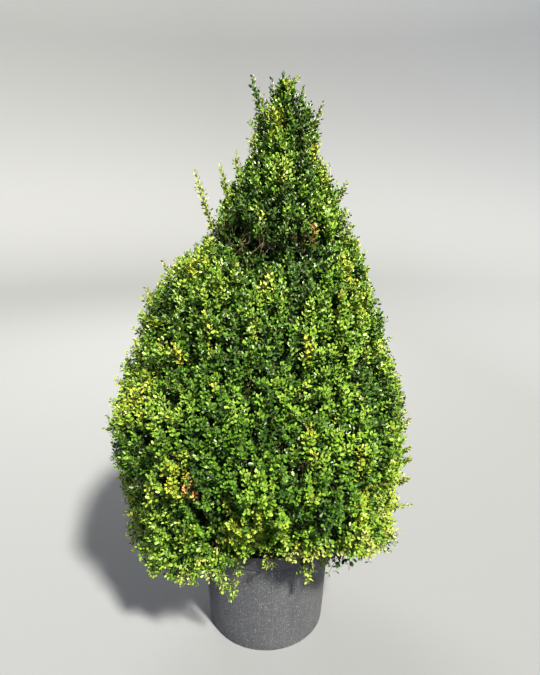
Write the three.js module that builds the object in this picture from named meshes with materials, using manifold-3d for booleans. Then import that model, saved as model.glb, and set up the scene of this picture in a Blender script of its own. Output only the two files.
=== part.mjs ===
// Cone-shaped box shrub in a round nursery pot.
// Millimetres, +Z up, the middle of the pot's underside at the origin, the side seen in the photo facing -Y.
import * as THREE from "three";
import { mergeVertices } from "three/addons/utils/BufferGeometryUtils.js";
import Module from "manifold-3d";

const wasm = await Module();
wasm.setup();

// Sizes

const CLEARANCE = 0.3;

const POT = {
  height: 395,
  topRadius: 240,
  baseRadius: 208,
  wall: 3,
  floor: 5,
  baseRound: 6,
  collarHeight: 55,
  collarStep: 2.5,
  lipHeight: 9,
  lipWidth: 7,
  edge: 2,
  recessDepth: 2,
  recessInner: 120,
  recessOuter: 186,
  segments: 36,
};

const SOIL = { top: 360, edgeDrop: 7, edgeSlack: 1, shoulder: 0.72, footRadius: 70, segments: 20 };

const TRUNK = {
  tip: 1622,
  footRadius: 23,
  middleRadius: 17,
  tipRadius: 5,
  flare: 11,
  flareHeight: 26,
  flareRings: [0, 9, 24, 50],
  buttresses: 4,
  buttressDepth: 0.45,
  sway: 9,
  swayAcross: 0.7,
  bends: 3,
  upperRings: 9,
  sides: 12,
};

// The crown out to its shoot tips: half its width, and how far its middle stands off the pot's axis.
const CROWN_STATIONS = [
  { height: 340, radius: 463, shift: -17 },
  { height: 500, radius: 484, shift: -11 },
  { height: 800, radius: 497, shift: -21 },
  { height: 900, radius: 477, shift: -25 },
  { height: 1000, radius: 444, shift: -16 },
  { height: 1200, radius: 373, shift: 0 },
  { height: 1300, radius: 316, shift: 17 },
  { height: 1400, radius: 247, shift: 40 },
  { height: 1500, radius: 196, shift: 51 },
  { height: 1600, radius: 138, shift: 56 },
  { height: 1700, radius: 95, shift: 62 },
  { height: 1800, radius: 62, shift: 58 },
  { height: 1860, radius: 30, shift: 55 },
];

// The crown's waves: how deep, how many round it, and how fast they turn with height (degrees per mm).
const CROWN_WAVES = [
  { depth: 11, lobes: 5, twist: 0.52, phase: 20 },
  { depth: 9, lobes: 3, twist: -0.8, phase: 130 },
];

// Where the crown is narrower than this its waves are shallower, down to this share of their depth.
const WAVE_FADE = { radius: 300, least: 0.3 };

// Foliage bottom round the crown, the height below which its tufts hang, and where it dips or lifts.
const HEM = {
  height: 375,
  hang: 452,
  turns: [
    { azimuth: 268, rise: 85, width: 22 },
    { azimuth: 306, rise: 100, width: 22 },
    { azimuth: 222, rise: -50, width: 26 },
    { azimuth: 110, rise: 22, width: 30 },
    { azimuth: 20, rise: -15, width: 24 },
  ],
};

// The crown draws in over the rim at the front.
const FRONT_RECESS = { azimuth: 268, width: 26, depth: 150, low: 500, high: 740 };

// A dark tier below the spire, widest at the front.
const TIER_GAP = { height: 1395, front: 50, back: 3, azimuth: 268, width: 50 };

// Rings of masses from the bottom up: their number and turn, top border, tufts and leaf size. Then the
// hollow inside as a share of the crown's radius below and above, and the boughs' foot, end slope and size.
const RINGS = [
  {
    name: "skirt", count: 6, turn: 36, high: 705, wave: 30, tufts: 16, size: 1, inner: 0.5, neck: 0.5,
    foot: 420, slope: 20, bough: 9,
  },
  {
    name: "body", count: 6, turn: 6, high: 1075, wave: 30, tufts: 16, size: 1, inner: 0.48, neck: 0.48,
    foot: 590, slope: 42, bough: 8,
  },
  {
    name: "shoulder", count: 4, turn: 45, high: 0, wave: 0, tufts: 18, size: 0.95, inner: 0.44, neck: 0.16,
    foot: 1010, slope: 55, bough: 6.5,
  },
  {
    name: "spire", count: 3, turn: 30, high: 1640, wave: 0, tufts: 13, size: 0.82, inner: 0.25, neck: 0.28,
    foot: 1440, slope: 50, bough: 4.5,
  },
];

const TIP = {
  low: 1640,
  high: 1815,
  tufts: 11,
  size: 0.7,
  coreLow: 1646,
  coreHigh: 1775,
  coreSides: 6,
  coreRows: 3,
  coreLeast: 12,
  coreRough: 0.15,
  stem: 1800,
  stemTaper: 0.6,
};

// The dense inside of a mass: how deep it lies under the shoot tips, its gap to the next, how rough it is.
const CORE = {
  depth: 64,
  bevel: 7,
  gap: 3,
  columns: 5,
  rows: 4,
  bottom: 428,
  inset: 5,
  rough: 16,
  least: 14,
};

const LEAF = { length: 82, width: 50, belly: 0.46, keel: 7, sink: 4, apart: 17 };

const TWIG = { sides: 3, rootRadius: 7, tipRadius: 6, sunk: 20, rise: 22 };

// The leaves of a twig: where each sits along it, its turn off the tuft's line, its share of the length.
const TWIG_LEAVES = [
  { at: 1, turn: 0, part: 1 },
  { at: 0.6, turn: 60, part: 0.9 },
  { at: 0.82, turn: -60, part: 0.9 },
];

// How a tuft sits in its window of the mass: its level, and how it strays, rolls, climbs and leans outwards.
const TUFT = {
  level: 0.66,
  stray: 0.3,
  roll: 56,
  climb: 0.84,
  out: 0.48,
  outStray: 0.3,
  tilt: -0.25,
  low: 0.35,
  high: 6,
  hang: 0.55,
  edge: 18,
  cutStray: 0.16,
};

const STEM = { sides: 6, into: 25, taper: 0.8 };

// A bough ends short of its mass's core, a little below the middle of it. The feet of one ring are staggered
// along the leader.
const BOUGH = {
  sides: 6,
  rings: 4,
  taper: 0.8,
  straight: 16,
  short: 24,
  drop: 20,
  bendAt: 0.5,
  stagger: 14,
};

// Long single shoots past the crown's form: where each ends, how steeply it rises, and how long it is.
const SHOOTS = [
  { tip: [-35, 0, 1849], rise: 80, length: 130 },
  { tip: [53, 0, 1859], rise: 88, length: 120 },
  { tip: [112, -10, 1820], rise: 75, length: 110 },
  { tip: [168, -20, 1774], rise: 70, length: 105 },
  { tip: [-72, -20, 1632], rise: 74, length: 110 },
  { tip: [-143, -30, 1613], rise: 72, length: 120 },
  { tip: [-207, -40, 1584], rise: 74, length: 125 },
  { tip: [245, -30, 1552], rise: 66, length: 115 },
  { tip: [-315, -50, 1317], rise: 66, length: 130 },
  { tip: [-370, -60, 1238], rise: 62, length: 130 },
  { tip: [-546, -30, 752], rise: 12, length: 175 },
  { tip: [510, -40, 462], rise: 5, length: 170 },
  { tip: [498, -32, 640], rise: 30, length: 130 },
];

const SHOOT_SIZE = 0.68;

// Long shoots and hanging sprays turn their leaves to the front.
const FRONT = new THREE.Vector3(0, -1, 0);

// Sprays that hang over the rim at the front: from, over and down to.
const DROOPS = [
  [[-70, -262, 505], [-92, -300, 420], [-109, -275, 278]],
  [[10, -250, 520], [12, -292, 492], [8, -298, 415]],
  [[100, -232, 520], [120, -286, 480], [134, -274, 345]],
];

const DROOP = { size: 0.62, overlap: 0.06 };

// How far the foliage keeps off the pot, and how low it may hang outside it.
const KEEP_OFF = { pot: 10, lowest: 250 };

const WELD = 1e-4;

const FINISH = {
  pot: { color: 0x3b3d40, roughness: 0.62, metalness: 0 },
  soil: { color: 0x4a382a, roughness: 0.95, metalness: 0 },
  bark: { color: 0x8a7a62, roughness: 0.85, metalness: 0 },
  foliage: { color: 0x4f7a26, roughness: 0.5, metalness: 0 },
};

// Numbers

const lerp = (from, to, share) => from + (to - from) * share;

const clamp = (value, low, high) => Math.min(high, Math.max(low, value));

const radians = (degrees) => (degrees * Math.PI) / 180;

/** The difference of two azimuths, from -180 to 180 degrees. */
function turnBetween(azimuth, other) {
  return ((((azimuth - other) % 360) + 540) % 360) - 180;
}

/** 1 at the middle, falling off as a bell over the width. */
const bell = (offset, width) => Math.exp(-((offset / width) ** 2));

function smooth(low, high, value) {
  const share = clamp((value - low) / (high - low), 0, 1);
  return share * share * (3 - 2 * share);
}

/** A repeatable run of numbers from 0 to 1 for one seed. */
function seeded(seed) {
  let state = seed >>> 0;
  return () => {
    state = (state + 0x6d2b79f5) >>> 0;
    let mixed = Math.imul(state ^ (state >>> 15), state | 1);
    mixed ^= mixed + Math.imul(mixed ^ (mixed >>> 7), mixed | 61);
    return ((mixed ^ (mixed >>> 14)) >>> 0) / 4294967296;
  };
}

// The crown's form

/** Radius and shift of the crown at a height, straight between its stations. */
function station(height) {
  const last = CROWN_STATIONS.length - 2;
  let index = 0;
  while (index < last && CROWN_STATIONS[index + 1].height < height) {
    index += 1;
  }
  const low = CROWN_STATIONS[index];
  const high = CROWN_STATIONS[index + 1];
  const share = clamp((height - low.height) / (high.height - low.height), 0, 1);
  return { radius: lerp(low.radius, high.radius, share), shift: lerp(low.shift, high.shift, share) };
}

/** Reach of the shoot tips from the crown's middle. */
function crownRadius(azimuth, height) {
  const { radius } = station(height);
  let reach = radius;
  for (const { depth, lobes, twist, phase } of CROWN_WAVES) {
    const wave = Math.sin(radians(lobes * azimuth + twist * height + phase)) - 1;
    reach += (depth / 2) * wave * clamp(radius / WAVE_FADE.radius, WAVE_FADE.least, 1);
  }
  const { azimuth: middle, width, depth, low, high } = FRONT_RECESS;
  const recess = bell(turnBetween(azimuth, middle), width) * (1 - smooth(low, high, height));
  return reach - depth * recess;
}

/** The lowest reach of the foliage at an azimuth. */
function hem(azimuth) {
  let height = HEM.height;
  for (const { azimuth: middle, rise, width } of HEM.turns) {
    height += rise * bell(turnBetween(azimuth, middle), width);
  }
  return height;
}

/** A point at a radius from the crown's middle. */
function place(azimuth, radius, height) {
  const angle = radians(azimuth);
  const { shift } = station(height);
  return new THREE.Vector3(shift + radius * Math.cos(angle), radius * Math.sin(angle), height);
}

/** The direction at an azimuth that rises by an angle. */
function heading(azimuth, rise) {
  const turn = radians(azimuth);
  const level = Math.cos(radians(rise));
  return new THREE.Vector3(level * Math.cos(turn), level * Math.sin(turn), Math.sin(radians(rise)));
}

// Solids

/** A geometry from corner points and triangles. */
function solid(points, triangles) {
  const geometry = new THREE.BufferGeometry();
  const numbers = points.flatMap((point) => point.toArray());
  geometry.setAttribute("position", new THREE.Float32BufferAttribute(numbers, 3));
  geometry.setIndex(triangles.flat());
  return geometry;
}

function toManifold(geometry) {
  const bare = geometry.clone();
  bare.deleteAttribute("normal");
  bare.deleteAttribute("uv");
  const welded = mergeVertices(bare, WELD);
  return new wasm.Manifold(
    new wasm.Mesh({
      numProp: 3,
      vertProperties: new Float32Array(welded.attributes.position.array),
      triVerts: new Uint32Array(welded.index.array),
    }),
  );
}

function toGeometry(manifold) {
  const mesh = manifold.getMesh();
  const geometry = new THREE.BufferGeometry();
  geometry.setAttribute("position", new THREE.Float32BufferAttribute(mesh.vertProperties, 3));
  geometry.setIndex(Array.from(mesh.triVerts));
  return geometry;
}

/** Only the largest closed surface: loose scraps drop away and sealed hollows are filled. */
function largestBody(geometry) {
  const index = Array.from(geometry.index.array);
  const position = geometry.attributes.position;
  const parent = Array.from({ length: position.count }, (_, vertex) => vertex);
  const root = (vertex) => {
    while (parent[vertex] !== vertex) {
      parent[vertex] = parent[parent[vertex]];
      vertex = parent[vertex];
    }
    return vertex;
  };
  for (let at = 0; at < index.length; at += 3) {
    parent[root(index[at])] = root(index[at + 1]);
    parent[root(index[at + 1])] = root(index[at + 2]);
  }
  const bodies = new Map();
  const corners = [new THREE.Vector3(), new THREE.Vector3(), new THREE.Vector3()];
  for (let at = 0; at < index.length; at += 3) {
    const key = root(index[at]);
    const body = bodies.get(key) ?? { volume: 0, triangles: [] };
    corners.forEach((corner, side) => corner.fromBufferAttribute(position, index[at + side]));
    body.volume += corners[0].dot(corners[1].clone().cross(corners[2])) / 6;
    body.triangles.push(index[at], index[at + 1], index[at + 2]);
    bodies.set(key, body);
  }
  const largest = [...bodies.values()].reduce((best, body) => (body.volume > best.volume ? body : best));
  geometry.setIndex(largest.triangles);
  return geometry;
}

function join(geometries) {
  const [first, ...others] = geometries.map(toManifold);
  return others.reduce((whole, piece) => whole.add(piece), first);
}

/** Faces over rings of points laid one after another, with a flat cut at both ends. */
function ringFaces(rings, sides) {
  const faces = [];
  for (let ring = 0; ring < rings - 1; ring += 1) {
    for (let side = 0; side < sides; side += 1) {
      const next = (side + 1) % sides;
      const low = ring * sides;
      const high = low + sides;
      faces.push([low + side, low + next, high + next], [low + side, high + next, high + side]);
    }
  }
  const top = (rings - 1) * sides;
  for (let side = 1; side < sides - 1; side += 1) {
    faces.push([0, side + 1, side], [top, top + side, top + side + 1]);
  }
  return faces;
}

/** A tapering limb with flat ends, its rings square to its line, their first corner towards a side. */
function limb(centres, radii, sides, towards = new THREE.Vector3(0.1, 0.2, 1)) {
  const points = [];
  let across = towards;
  centres.forEach((centre, ring) => {
    const before = centres[Math.max(ring - 1, 0)];
    const after = centres[Math.min(ring + 1, centres.length - 1)];
    const along = after.clone().sub(before).normalize();
    across = across.clone().addScaledVector(along, -across.dot(along)).normalize();
    const aside = along.clone().cross(across);
    for (let side = 0; side < sides; side += 1) {
      const angle = (2 * Math.PI * side) / sides;
      const spoke = across.clone().multiplyScalar(Math.cos(angle)).addScaledVector(aside, Math.sin(angle));
      points.push(centre.clone().addScaledVector(spoke, radii[ring]));
    }
  });
  return solid(points, ringFaces(centres.length, sides));
}

/** Points and radii along a three-point curve. */
function curved(from, bend, to, rings, fromRadius, toRadius) {
  const curve = new THREE.QuadraticBezierCurve3(from, bend, to);
  const shares = Array.from({ length: rings }, (_, ring) => ring / (rings - 1));
  return {
    centres: shares.map((share) => curve.getPoint(share)),
    radii: shares.map((share) => lerp(fromRadius, toRadius, share)),
  };
}

// Pot and soil

function potOuterRadius(height) {
  return lerp(POT.baseRadius, POT.topRadius - POT.lipWidth, height / POT.height);
}

function lathe(profile, segments) {
  const outline = profile.map(([radius, height]) => new THREE.Vector2(radius, height));
  return new THREE.LatheGeometry(outline, segments).rotateX(Math.PI / 2);
}

function potGeometry() {
  const { height, topRadius, baseRadius, wall, floor, baseRound, collarStep, edge } = POT;
  const { recessDepth, recessInner, recessOuter } = POT;
  const step = height - POT.collarHeight;
  const lipBottom = height - POT.lipHeight;
  const profile = [
    [0, 0],
    [recessInner, 0],
    [recessInner + recessDepth, recessDepth],
    [recessOuter - recessDepth, recessDepth],
    [recessOuter, 0],
    [baseRadius - baseRound, 0],
    [baseRadius - edge, baseRound / 3],
    [potOuterRadius(baseRound), baseRound],
    [potOuterRadius(step) - collarStep, step - edge],
    [potOuterRadius(step), step],
    [potOuterRadius(lipBottom), lipBottom],
    [topRadius - edge / 2, lipBottom + edge / 2],
    [topRadius, height - edge],
    [topRadius - edge, height],
    [potOuterRadius(height) - wall, height],
    [potOuterRadius(step) - collarStep - wall, step - edge],
    [potOuterRadius(floor) - wall, floor],
    [0, floor],
  ];
  return lathe(profile, POT.segments);
}

function soilGeometry() {
  const inner = (height) => potOuterRadius(height) - POT.collarStep - POT.wall - CLEARANCE * 2;
  const bottom = POT.floor + CLEARANCE;
  const edge = SOIL.top - SOIL.edgeDrop;
  const profile = [
    [0, bottom],
    [inner(bottom) - SOIL.edgeSlack, bottom],
    [inner(edge) - SOIL.edgeSlack, edge],
    [inner(edge) * SOIL.shoulder, SOIL.top - SOIL.edgeSlack],
    [SOIL.footRadius, SOIL.top],
    [0, SOIL.top],
  ];
  return lathe(profile, SOIL.segments);
}

// Trunk and boughs

/** The leader's middle: upright in the pot, then leaning over with the crown. */
function trunkMiddle(height) {
  const rise = clamp((height - SOIL.top) / (TRUNK.tip - SOIL.top), 0, 1);
  const lean = station(TRUNK.tip).shift * smooth(0.1, 1, rise);
  const sway = TRUNK.sway * Math.sin(Math.PI * TRUNK.bends * rise) * (1 - rise);
  return new THREE.Vector3(lean + sway, sway * TRUNK.swayAcross, height);
}

function trunkRadius(height) {
  const rise = clamp((height - SOIL.top) / (TRUNK.tip - SOIL.top), 0, 1);
  return rise < 0.5
    ? lerp(TRUNK.footRadius, TRUNK.middleRadius, rise * 2)
    : lerp(TRUNK.middleRadius, TRUNK.tipRadius, rise * 2 - 1);
}

/** The leader from its flat cut at the soil to its tip, with an extra width where it serves as a cutter. */
function trunkGeometry(extra = 0) {
  const foot = SOIL.top + CLEARANCE;
  const heights = TRUNK.flareRings.map((rise) => foot + rise);
  const flareTop = heights.at(-1);
  for (let ring = 1; ring <= TRUNK.upperRings; ring += 1) {
    heights.push(lerp(flareTop, TRUNK.tip, ring / TRUNK.upperRings));
  }
  const points = heights.flatMap((height) => {
    const middle = trunkMiddle(height);
    const flare = TRUNK.flare * Math.exp(-(height - foot) / TRUNK.flareHeight);
    return Array.from({ length: TRUNK.sides }, (_, side) => {
      const angle = (2 * Math.PI * side) / TRUNK.sides;
      const buttress = 1 + TRUNK.buttressDepth * Math.cos(TRUNK.buttresses * angle);
      const radius = trunkRadius(height) + flare * buttress + extra;
      const spoke = new THREE.Vector3(radius * Math.cos(angle), radius * Math.sin(angle), 0);
      return spoke.add(middle);
    });
  });
  return solid(points, ringFaces(heights.length, TRUNK.sides));
}

/** Where a bough leaves the leader, bends and ends, and the line its mass's stem goes on along. */
function boughLine(mass) {
  const { azimuth, ring, order } = mass;
  const height = mass.middle - BOUGH.drop;
  const entry = place(azimuth, mass.inner(azimuth, height) - BOUGH.short, height);
  const foot = trunkMiddle(ring.foot + ((order * 2) % ring.count) * BOUGH.stagger);
  const along = heading(azimuth, ring.slope);
  const level = Math.cos(radians(ring.slope));
  const run = Math.hypot(entry.x - foot.x, entry.y - foot.y);
  const bend = entry.clone().addScaledVector(along, (-BOUGH.bendAt * run) / level);
  const stemEnd = entry.clone().addScaledVector(along, (BOUGH.short + STEM.into) / level);
  return { foot, bend, entry, along, stemEnd };
}

function boughGeometry(mass, cutter) {
  const { foot, bend, entry, along } = boughLine(mass);
  const straight = entry.clone().addScaledVector(along, -BOUGH.straight);
  const tipRadius = mass.ring.bough * BOUGH.taper;
  const { centres, radii } = curved(foot, bend, straight, BOUGH.rings, mass.ring.bough, tipRadius);
  centres.push(entry.clone().addScaledVector(along, -CLEARANCE));
  radii.push(tipRadius);
  return largestBody(toGeometry(toManifold(limb(centres, radii, BOUGH.sides)).subtract(cutter)));
}

// Foliage masses

/** The upper border of a ring, and the lower border of the one above it. */
function border(ring, azimuth, above) {
  if (ring.name === "shoulder") {
    const { height, front, back, azimuth: middle, width } = TIER_GAP;
    const half = lerp(back, front, bell(turnBetween(azimuth, middle), width));
    return height + (above ? half : -half);
  }
  return ring.high + ring.wave * Math.sin(radians(3 * azimuth + ring.high));
}

/** The cells of one ring, one a mass: a share of the azimuth between two wavy heights. */
function massesOf(ring, below) {
  const span = 360 / ring.count;
  return Array.from({ length: ring.count }, (_, order) => {
    const azimuth = (ring.turn + order * span) % 360;
    const high = (at) => border(ring, at, false);
    const low = (at) => (below ? border(below, at, true) : hem(at));
    return {
      name: `${ring.name}_${order + 1}`,
      ring,
      order,
      size: ring.size,
      azimuth,
      span,
      low,
      high,
      middle: (low(azimuth) + high(azimuth)) / 2,
      floor: below ? low : () => KEEP_OFF.lowest,
      inner: (at, height) => {
        const rise = smooth(low(at), high(at), height);
        return station(height).radius * lerp(ring.inner, ring.neck, rise);
      },
    };
  });
}

/** Azimuth from the crown's middle in degrees, and radius. */
function polar(point) {
  const { shift } = station(point.z);
  const azimuth = (Math.atan2(point.y, point.x - shift) * 180) / Math.PI;
  return { azimuth, radius: Math.hypot(point.x - shift, point.y) };
}

/** Whether every point keeps inside the mass's own cell and off the pot. */
function within(mass, points) {
  return points.every((point) => {
    const { azimuth, radius } = polar(point);
    const side = mass.span / 2 - Math.abs(turnBetween(azimuth, mass.azimuth));
    const above = point.z > POT.height + KEEP_OFF.pot;
    const beside = Math.hypot(point.x, point.y) > POT.topRadius + KEEP_OFF.pot;
    return (
      (above || beside) &&
      (mass.span >= 360 || radius * Math.sin(radians(side)) > CORE.gap) &&
      point.z > mass.floor(azimuth) + CORE.gap &&
      point.z < mass.high(azimuth) - CORE.gap
    );
  });
}

/** Faces of a slab between an outer and an inner sheet of points, both laid row by row. */
function slabFaces(columns, rows) {
  const row = columns + 1;
  const layer = row * (rows + 1);
  const triangles = [];
  const quad = (a, b, c, d) => triangles.push([a, b, c], [a, c, d]);
  for (let v = 0; v < rows; v += 1) {
    for (let u = 0; u < columns; u += 1) {
      const at = v * row + u;
      quad(at, at + 1, at + row + 1, at + row);
      quad(layer + at, layer + at + row, layer + at + row + 1, layer + at + 1);
    }
  }
  for (let u = 0; u < columns; u += 1) {
    const top = rows * row + u;
    quad(u, layer + u, layer + u + 1, u + 1);
    quad(top, top + 1, layer + top + 1, layer + top);
  }
  for (let v = 0; v < rows; v += 1) {
    const left = v * row;
    const right = left + columns;
    quad(left, left + row, layer + left + row, layer + left);
    quad(right, layer + right, layer + right + row, right + row);
  }
  return triangles;
}

/** The core of a mass: its cell drawn in from the shoot tips, with a rough outer face. */
function coreGeometry(mass, random) {
  const { columns, rows } = CORE;
  const outer = [];
  const inner = [];
  for (let v = 0; v <= rows; v += 1) {
    for (let u = 0; u <= columns; u += 1) {
      const side = (2 * u) / columns - 1;
      const azimuth = mass.azimuth + (side * mass.span) / 2;
      const low = Math.max(mass.low(azimuth) + CORE.inset, CORE.bottom);
      const height = lerp(low, mass.high(azimuth) - CORE.inset, v / rows);
      const ease = CORE.bevel * (side ** 4 + ((2 * v) / rows - 1) ** 4);
      const bump = CORE.rough * (random() * 2 - 1);
      const near = mass.inner(azimuth, height);
      const reach = crownRadius(azimuth, height) - CORE.depth * mass.size - ease + bump;
      const far = Math.max(reach, near + CORE.least);
      for (const [sheet, radius] of [[outer, far], [inner, near]]) {
        const gap = (Math.asin(CORE.gap / radius) * 180) / Math.PI;
        sheet.push(place(mass.azimuth + side * (mass.span / 2 - gap), radius, height));
      }
    }
  }
  return solid([...outer, ...inner], slabFaces(columns, rows));
}

/** The core of the top mass: a small rough cone round its stem. */
function tipCoreGeometry(random) {
  const { coreLow, coreHigh, coreSides, coreRows, coreLeast, coreRough } = TIP;
  const points = [place(0, 0, coreLow)];
  for (let v = 0; v < coreRows; v += 1) {
    const height = lerp(coreLow, coreHigh, v / (coreRows - 0.5));
    for (let side = 0; side < coreSides; side += 1) {
      const azimuth = (360 * (side + v / 2)) / coreSides;
      const rough = 1 + coreRough * (random() * 2 - 1);
      const reach = (crownRadius(azimuth, height) - CORE.depth * TIP.size) * rough;
      points.push(place(azimuth, Math.max(reach, coreLeast), height));
    }
  }
  points.push(place(0, 0, coreHigh));
  const triangles = [];
  for (let side = 0; side < coreSides; side += 1) {
    const next = (side + 1) % coreSides;
    triangles.push([0, 1 + next, 1 + side]);
    for (let v = 0; v < coreRows - 1; v += 1) {
      const low = 1 + v * coreSides;
      const high = low + coreSides;
      triangles.push([low + side, low + next, high + side], [low + next, high + next, high + side]);
    }
    const last = 1 + (coreRows - 1) * coreSides;
    triangles.push([last + side, last + next, points.length - 1]);
  }
  return solid(points, triangles);
}

/** Shares a window of the mass among a number of tufts, halving it across its longer side each time. */
function share(mass, window, count, random) {
  if (count === 1) {
    return [window];
  }
  const { from, to, low, high } = window;
  const wide = radians(((to - from) * mass.span) / 2) * station(mass.middle).radius;
  const tall = (high - low) * (mass.high(mass.azimuth) - mass.low(mass.azimuth));
  const first = Math.ceil(count / 2);
  const cut = first / count + (random() - 0.5) * TUFT.cutStray;
  const [near, far] =
    wide > tall
      ? [{ ...window, to: lerp(from, to, cut) }, { ...window, from: lerp(from, to, cut) }]
      : [{ ...window, high: lerp(low, high, cut) }, { ...window, low: lerp(low, high, cut) }];
  return [...share(mass, near, first, random), ...share(mass, far, count - first, random)];
}

/** The four corners of a keeled leaf: foot, tip and the two sides, which lie lower than its keel. */
function leafCorners(foot, along, facing, length, width) {
  const aside = along.clone().cross(facing).normalize();
  const up = aside.clone().cross(along).normalize();
  const belly = foot.clone().addScaledVector(along, length * LEAF.belly).addScaledVector(up, -LEAF.keel);
  return [
    foot,
    foot.clone().addScaledVector(along, length),
    belly.clone().addScaledVector(aside, width / 2),
    belly.clone().addScaledVector(aside, -width / 2),
  ];
}

const LEAF_FACES = [
  [0, 2, 1],
  [0, 1, 3],
  [0, 3, 2],
  [1, 2, 3],
];

/** Corners and points between them, close enough to tell where a leaf passes. */
function samples([foot, tip, left, right]) {
  const between = [0.3, 0.65].map((at) => foot.clone().lerp(tip, at));
  return [foot, tip, left, right, ...between];
}

/** A three-sided twig with an end leaf and a pair, each where it keeps within the mass and off others. */
function spray(mass, taken, { root, end, forward, facing, size = mass.size }) {
  if (!within(mass, [root, end])) {
    return [];
  }
  const along = end.clone().sub(root).normalize();
  const side = forward.clone().cross(facing).normalize();
  const lean = forward.clone().add(facing);
  const corner = lean.addScaledVector(along, -lean.dot(along)).normalize();
  const pieces = [];
  const own = [];
  for (const { at, turn, part } of TWIG_LEAVES) {
    const foot = root.clone().lerp(end, at).addScaledVector(along, -LEAF.sink);
    const angle = radians(turn);
    const line = forward.clone().multiplyScalar(Math.cos(angle)).addScaledVector(side, Math.sin(angle));
    const length = LEAF.length * size * part;
    const corners = leafCorners(foot, line.normalize(), facing, length, LEAF.width * size);
    const passes = samples(corners);
    const clear = (point) => taken.every((other) => point.distanceTo(other) > LEAF.apart * size);
    if (passes.every(clear) && within(mass, passes)) {
      pieces.push(solid(corners, LEAF_FACES));
      own.push(...passes);
    }
  }
  if (pieces.length > 0) {
    pieces.push(limb([root, end], [TWIG.rootRadius * size, TWIG.tipRadius * size], TWIG.sides, corner));
    taken.push(...own);
  }
  return pieces;
}

/** One tuft of the growth rule, on the surface of the mass, its leaves rising along the crown or hanging. */
function tuft(mass, taken, window, random) {
  const side = lerp(window.from, window.to, 0.5 + (random() - 0.5) * TUFT.stray);
  const level = lerp(window.low, window.high, TUFT.level + (random() - 0.5) * TUFT.stray);
  const azimuth = mass.azimuth + (side * mass.span) / 2;
  const length = LEAF.length * mass.size;
  const height = lerp(mass.low(azimuth) + length * TUFT.low, mass.high(azimuth) - TUFT.high, level);
  const hangs = height < HEM.hang;
  const facing = place(azimuth, 1, height).sub(place(azimuth, 0, height));
  const tilt = facing.clone().setZ(TUFT.tilt).normalize();
  const roll = radians(TUFT.roll * (random() - 0.5));
  const forward = new THREE.Vector3(0, 0, hangs ? -TUFT.climb : TUFT.climb).applyAxisAngle(facing, roll);
  const out = TUFT.out * (1 + TUFT.outStray * (random() * 2 - 1));
  forward.addScaledVector(facing, out).normalize();
  const tip = place(azimuth, crownRadius(azimuth, height), hangs ? height - length * TUFT.hang : height);
  const end = tip.clone().addScaledVector(forward, -length);
  const rootHeight = end.z + TWIG.rise * (hangs ? 1 : -1);
  const deep = (CORE.depth + TWIG.sunk) * mass.size;
  const behind = polar(end).radius + length * forward.dot(facing) - deep;
  const inside = crownRadius(azimuth, rootHeight) - deep;
  const root = place(azimuth, Math.max(Math.min(behind, inside), CLEARANCE), rootHeight);
  return spray(mass, taken, { root, end, forward, facing: tilt });
}

/** The long shoots that end inside a mass. */
function longShoots(mass, taken) {
  return SHOOTS.flatMap(({ tip, rise, length }) => {
    const at = new THREE.Vector3(...tip);
    if (!within(mass, [at])) {
      return [];
    }
    const forward = heading(polar(at).azimuth, rise);
    const end = at.clone().addScaledVector(forward, -LEAF.length * SHOOT_SIZE);
    const root = at.clone().addScaledVector(forward, -length);
    return spray(mass, taken, { root, end, forward, facing: FRONT, size: SHOOT_SIZE });
  });
}

/** The sprays hanging over the rim that start inside a mass, each in two lengths. */
function hangingSprays(mass, taken) {
  return DROOPS.flatMap((line) => {
    const [from, over, to] = line.map((point) => new THREE.Vector3(...point));
    if (!within(mass, [from])) {
      return [];
    }
    const down = to.clone().sub(over).normalize();
    const shape = { forward: down, facing: FRONT, size: DROOP.size };
    const end = to.clone().addScaledVector(down, -LEAF.length * DROOP.size);
    const lowRoot = over.clone().lerp(from, DROOP.overlap);
    return [
      ...spray(mass, taken, { root: from, end: over, ...shape }),
      ...spray(mass, taken, { root: lowRoot, end, ...shape }),
    ];
  });
}

/** Everything that stands out of a core: long shoots, hanging sprays and the growth rule's tufts. */
function sprays(mass, tufts, random) {
  const taken = [];
  const edge = TUFT.edge / station(mass.middle).radius / radians(mass.span / 2);
  const window = { from: edge - 1, to: 1 - edge, low: 0, high: 1 };
  return [
    ...hangingSprays(mass, taken),
    ...longShoots(mass, taken),
    ...share(mass, window, tufts, random).flatMap((part) => tuft(mass, taken, part, random)),
  ];
}

function massGeometry(mass, seed) {
  const random = seeded(seed);
  const { entry, stemEnd } = boughLine(mass);
  const stemRadius = mass.ring.bough * BOUGH.taper;
  const stem = limb([entry, stemEnd], [stemRadius, stemRadius * STEM.taper], STEM.sides);
  const core = coreGeometry(mass, random);
  return largestBody(toGeometry(join([core, stem, ...sprays(mass, mass.ring.tufts, random)])));
}

/** The top mass: its stem goes on from the leader's tip. */
function tipGeometry(seed) {
  const random = seeded(seed);
  const flat = (height) => () => height;
  const mass = {
    size: TIP.size,
    azimuth: 0,
    span: 360,
    low: flat(TIP.low),
    high: flat(TIP.high),
    floor: flat(TIP.low),
    middle: (TIP.low + TIP.high) / 2,
  };
  const foot = trunkMiddle(TRUNK.tip).setZ(TRUNK.tip + CLEARANCE);
  const stemEnd = foot.clone().setZ(TIP.stem);
  const stem = limb([foot, stemEnd], [TRUNK.tipRadius, TRUNK.tipRadius * TIP.stemTaper], STEM.sides);
  const core = tipCoreGeometry(random);
  const above = { ...mass, high: flat(CROWN_STATIONS.at(-1).height + LEAF.sink) };
  const taken = [];
  const shoots = longShoots(above, taken);
  const tufts = share(mass, { from: -1, to: 1, low: 0, high: 1 }, TIP.tufts, random);
  const leaves = tufts.flatMap((part) => tuft(mass, taken, part, random));
  return largestBody(toGeometry(join([core, stem, ...shoots, ...leaves])));
}

// The whole

const plant = new THREE.Group();

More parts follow.
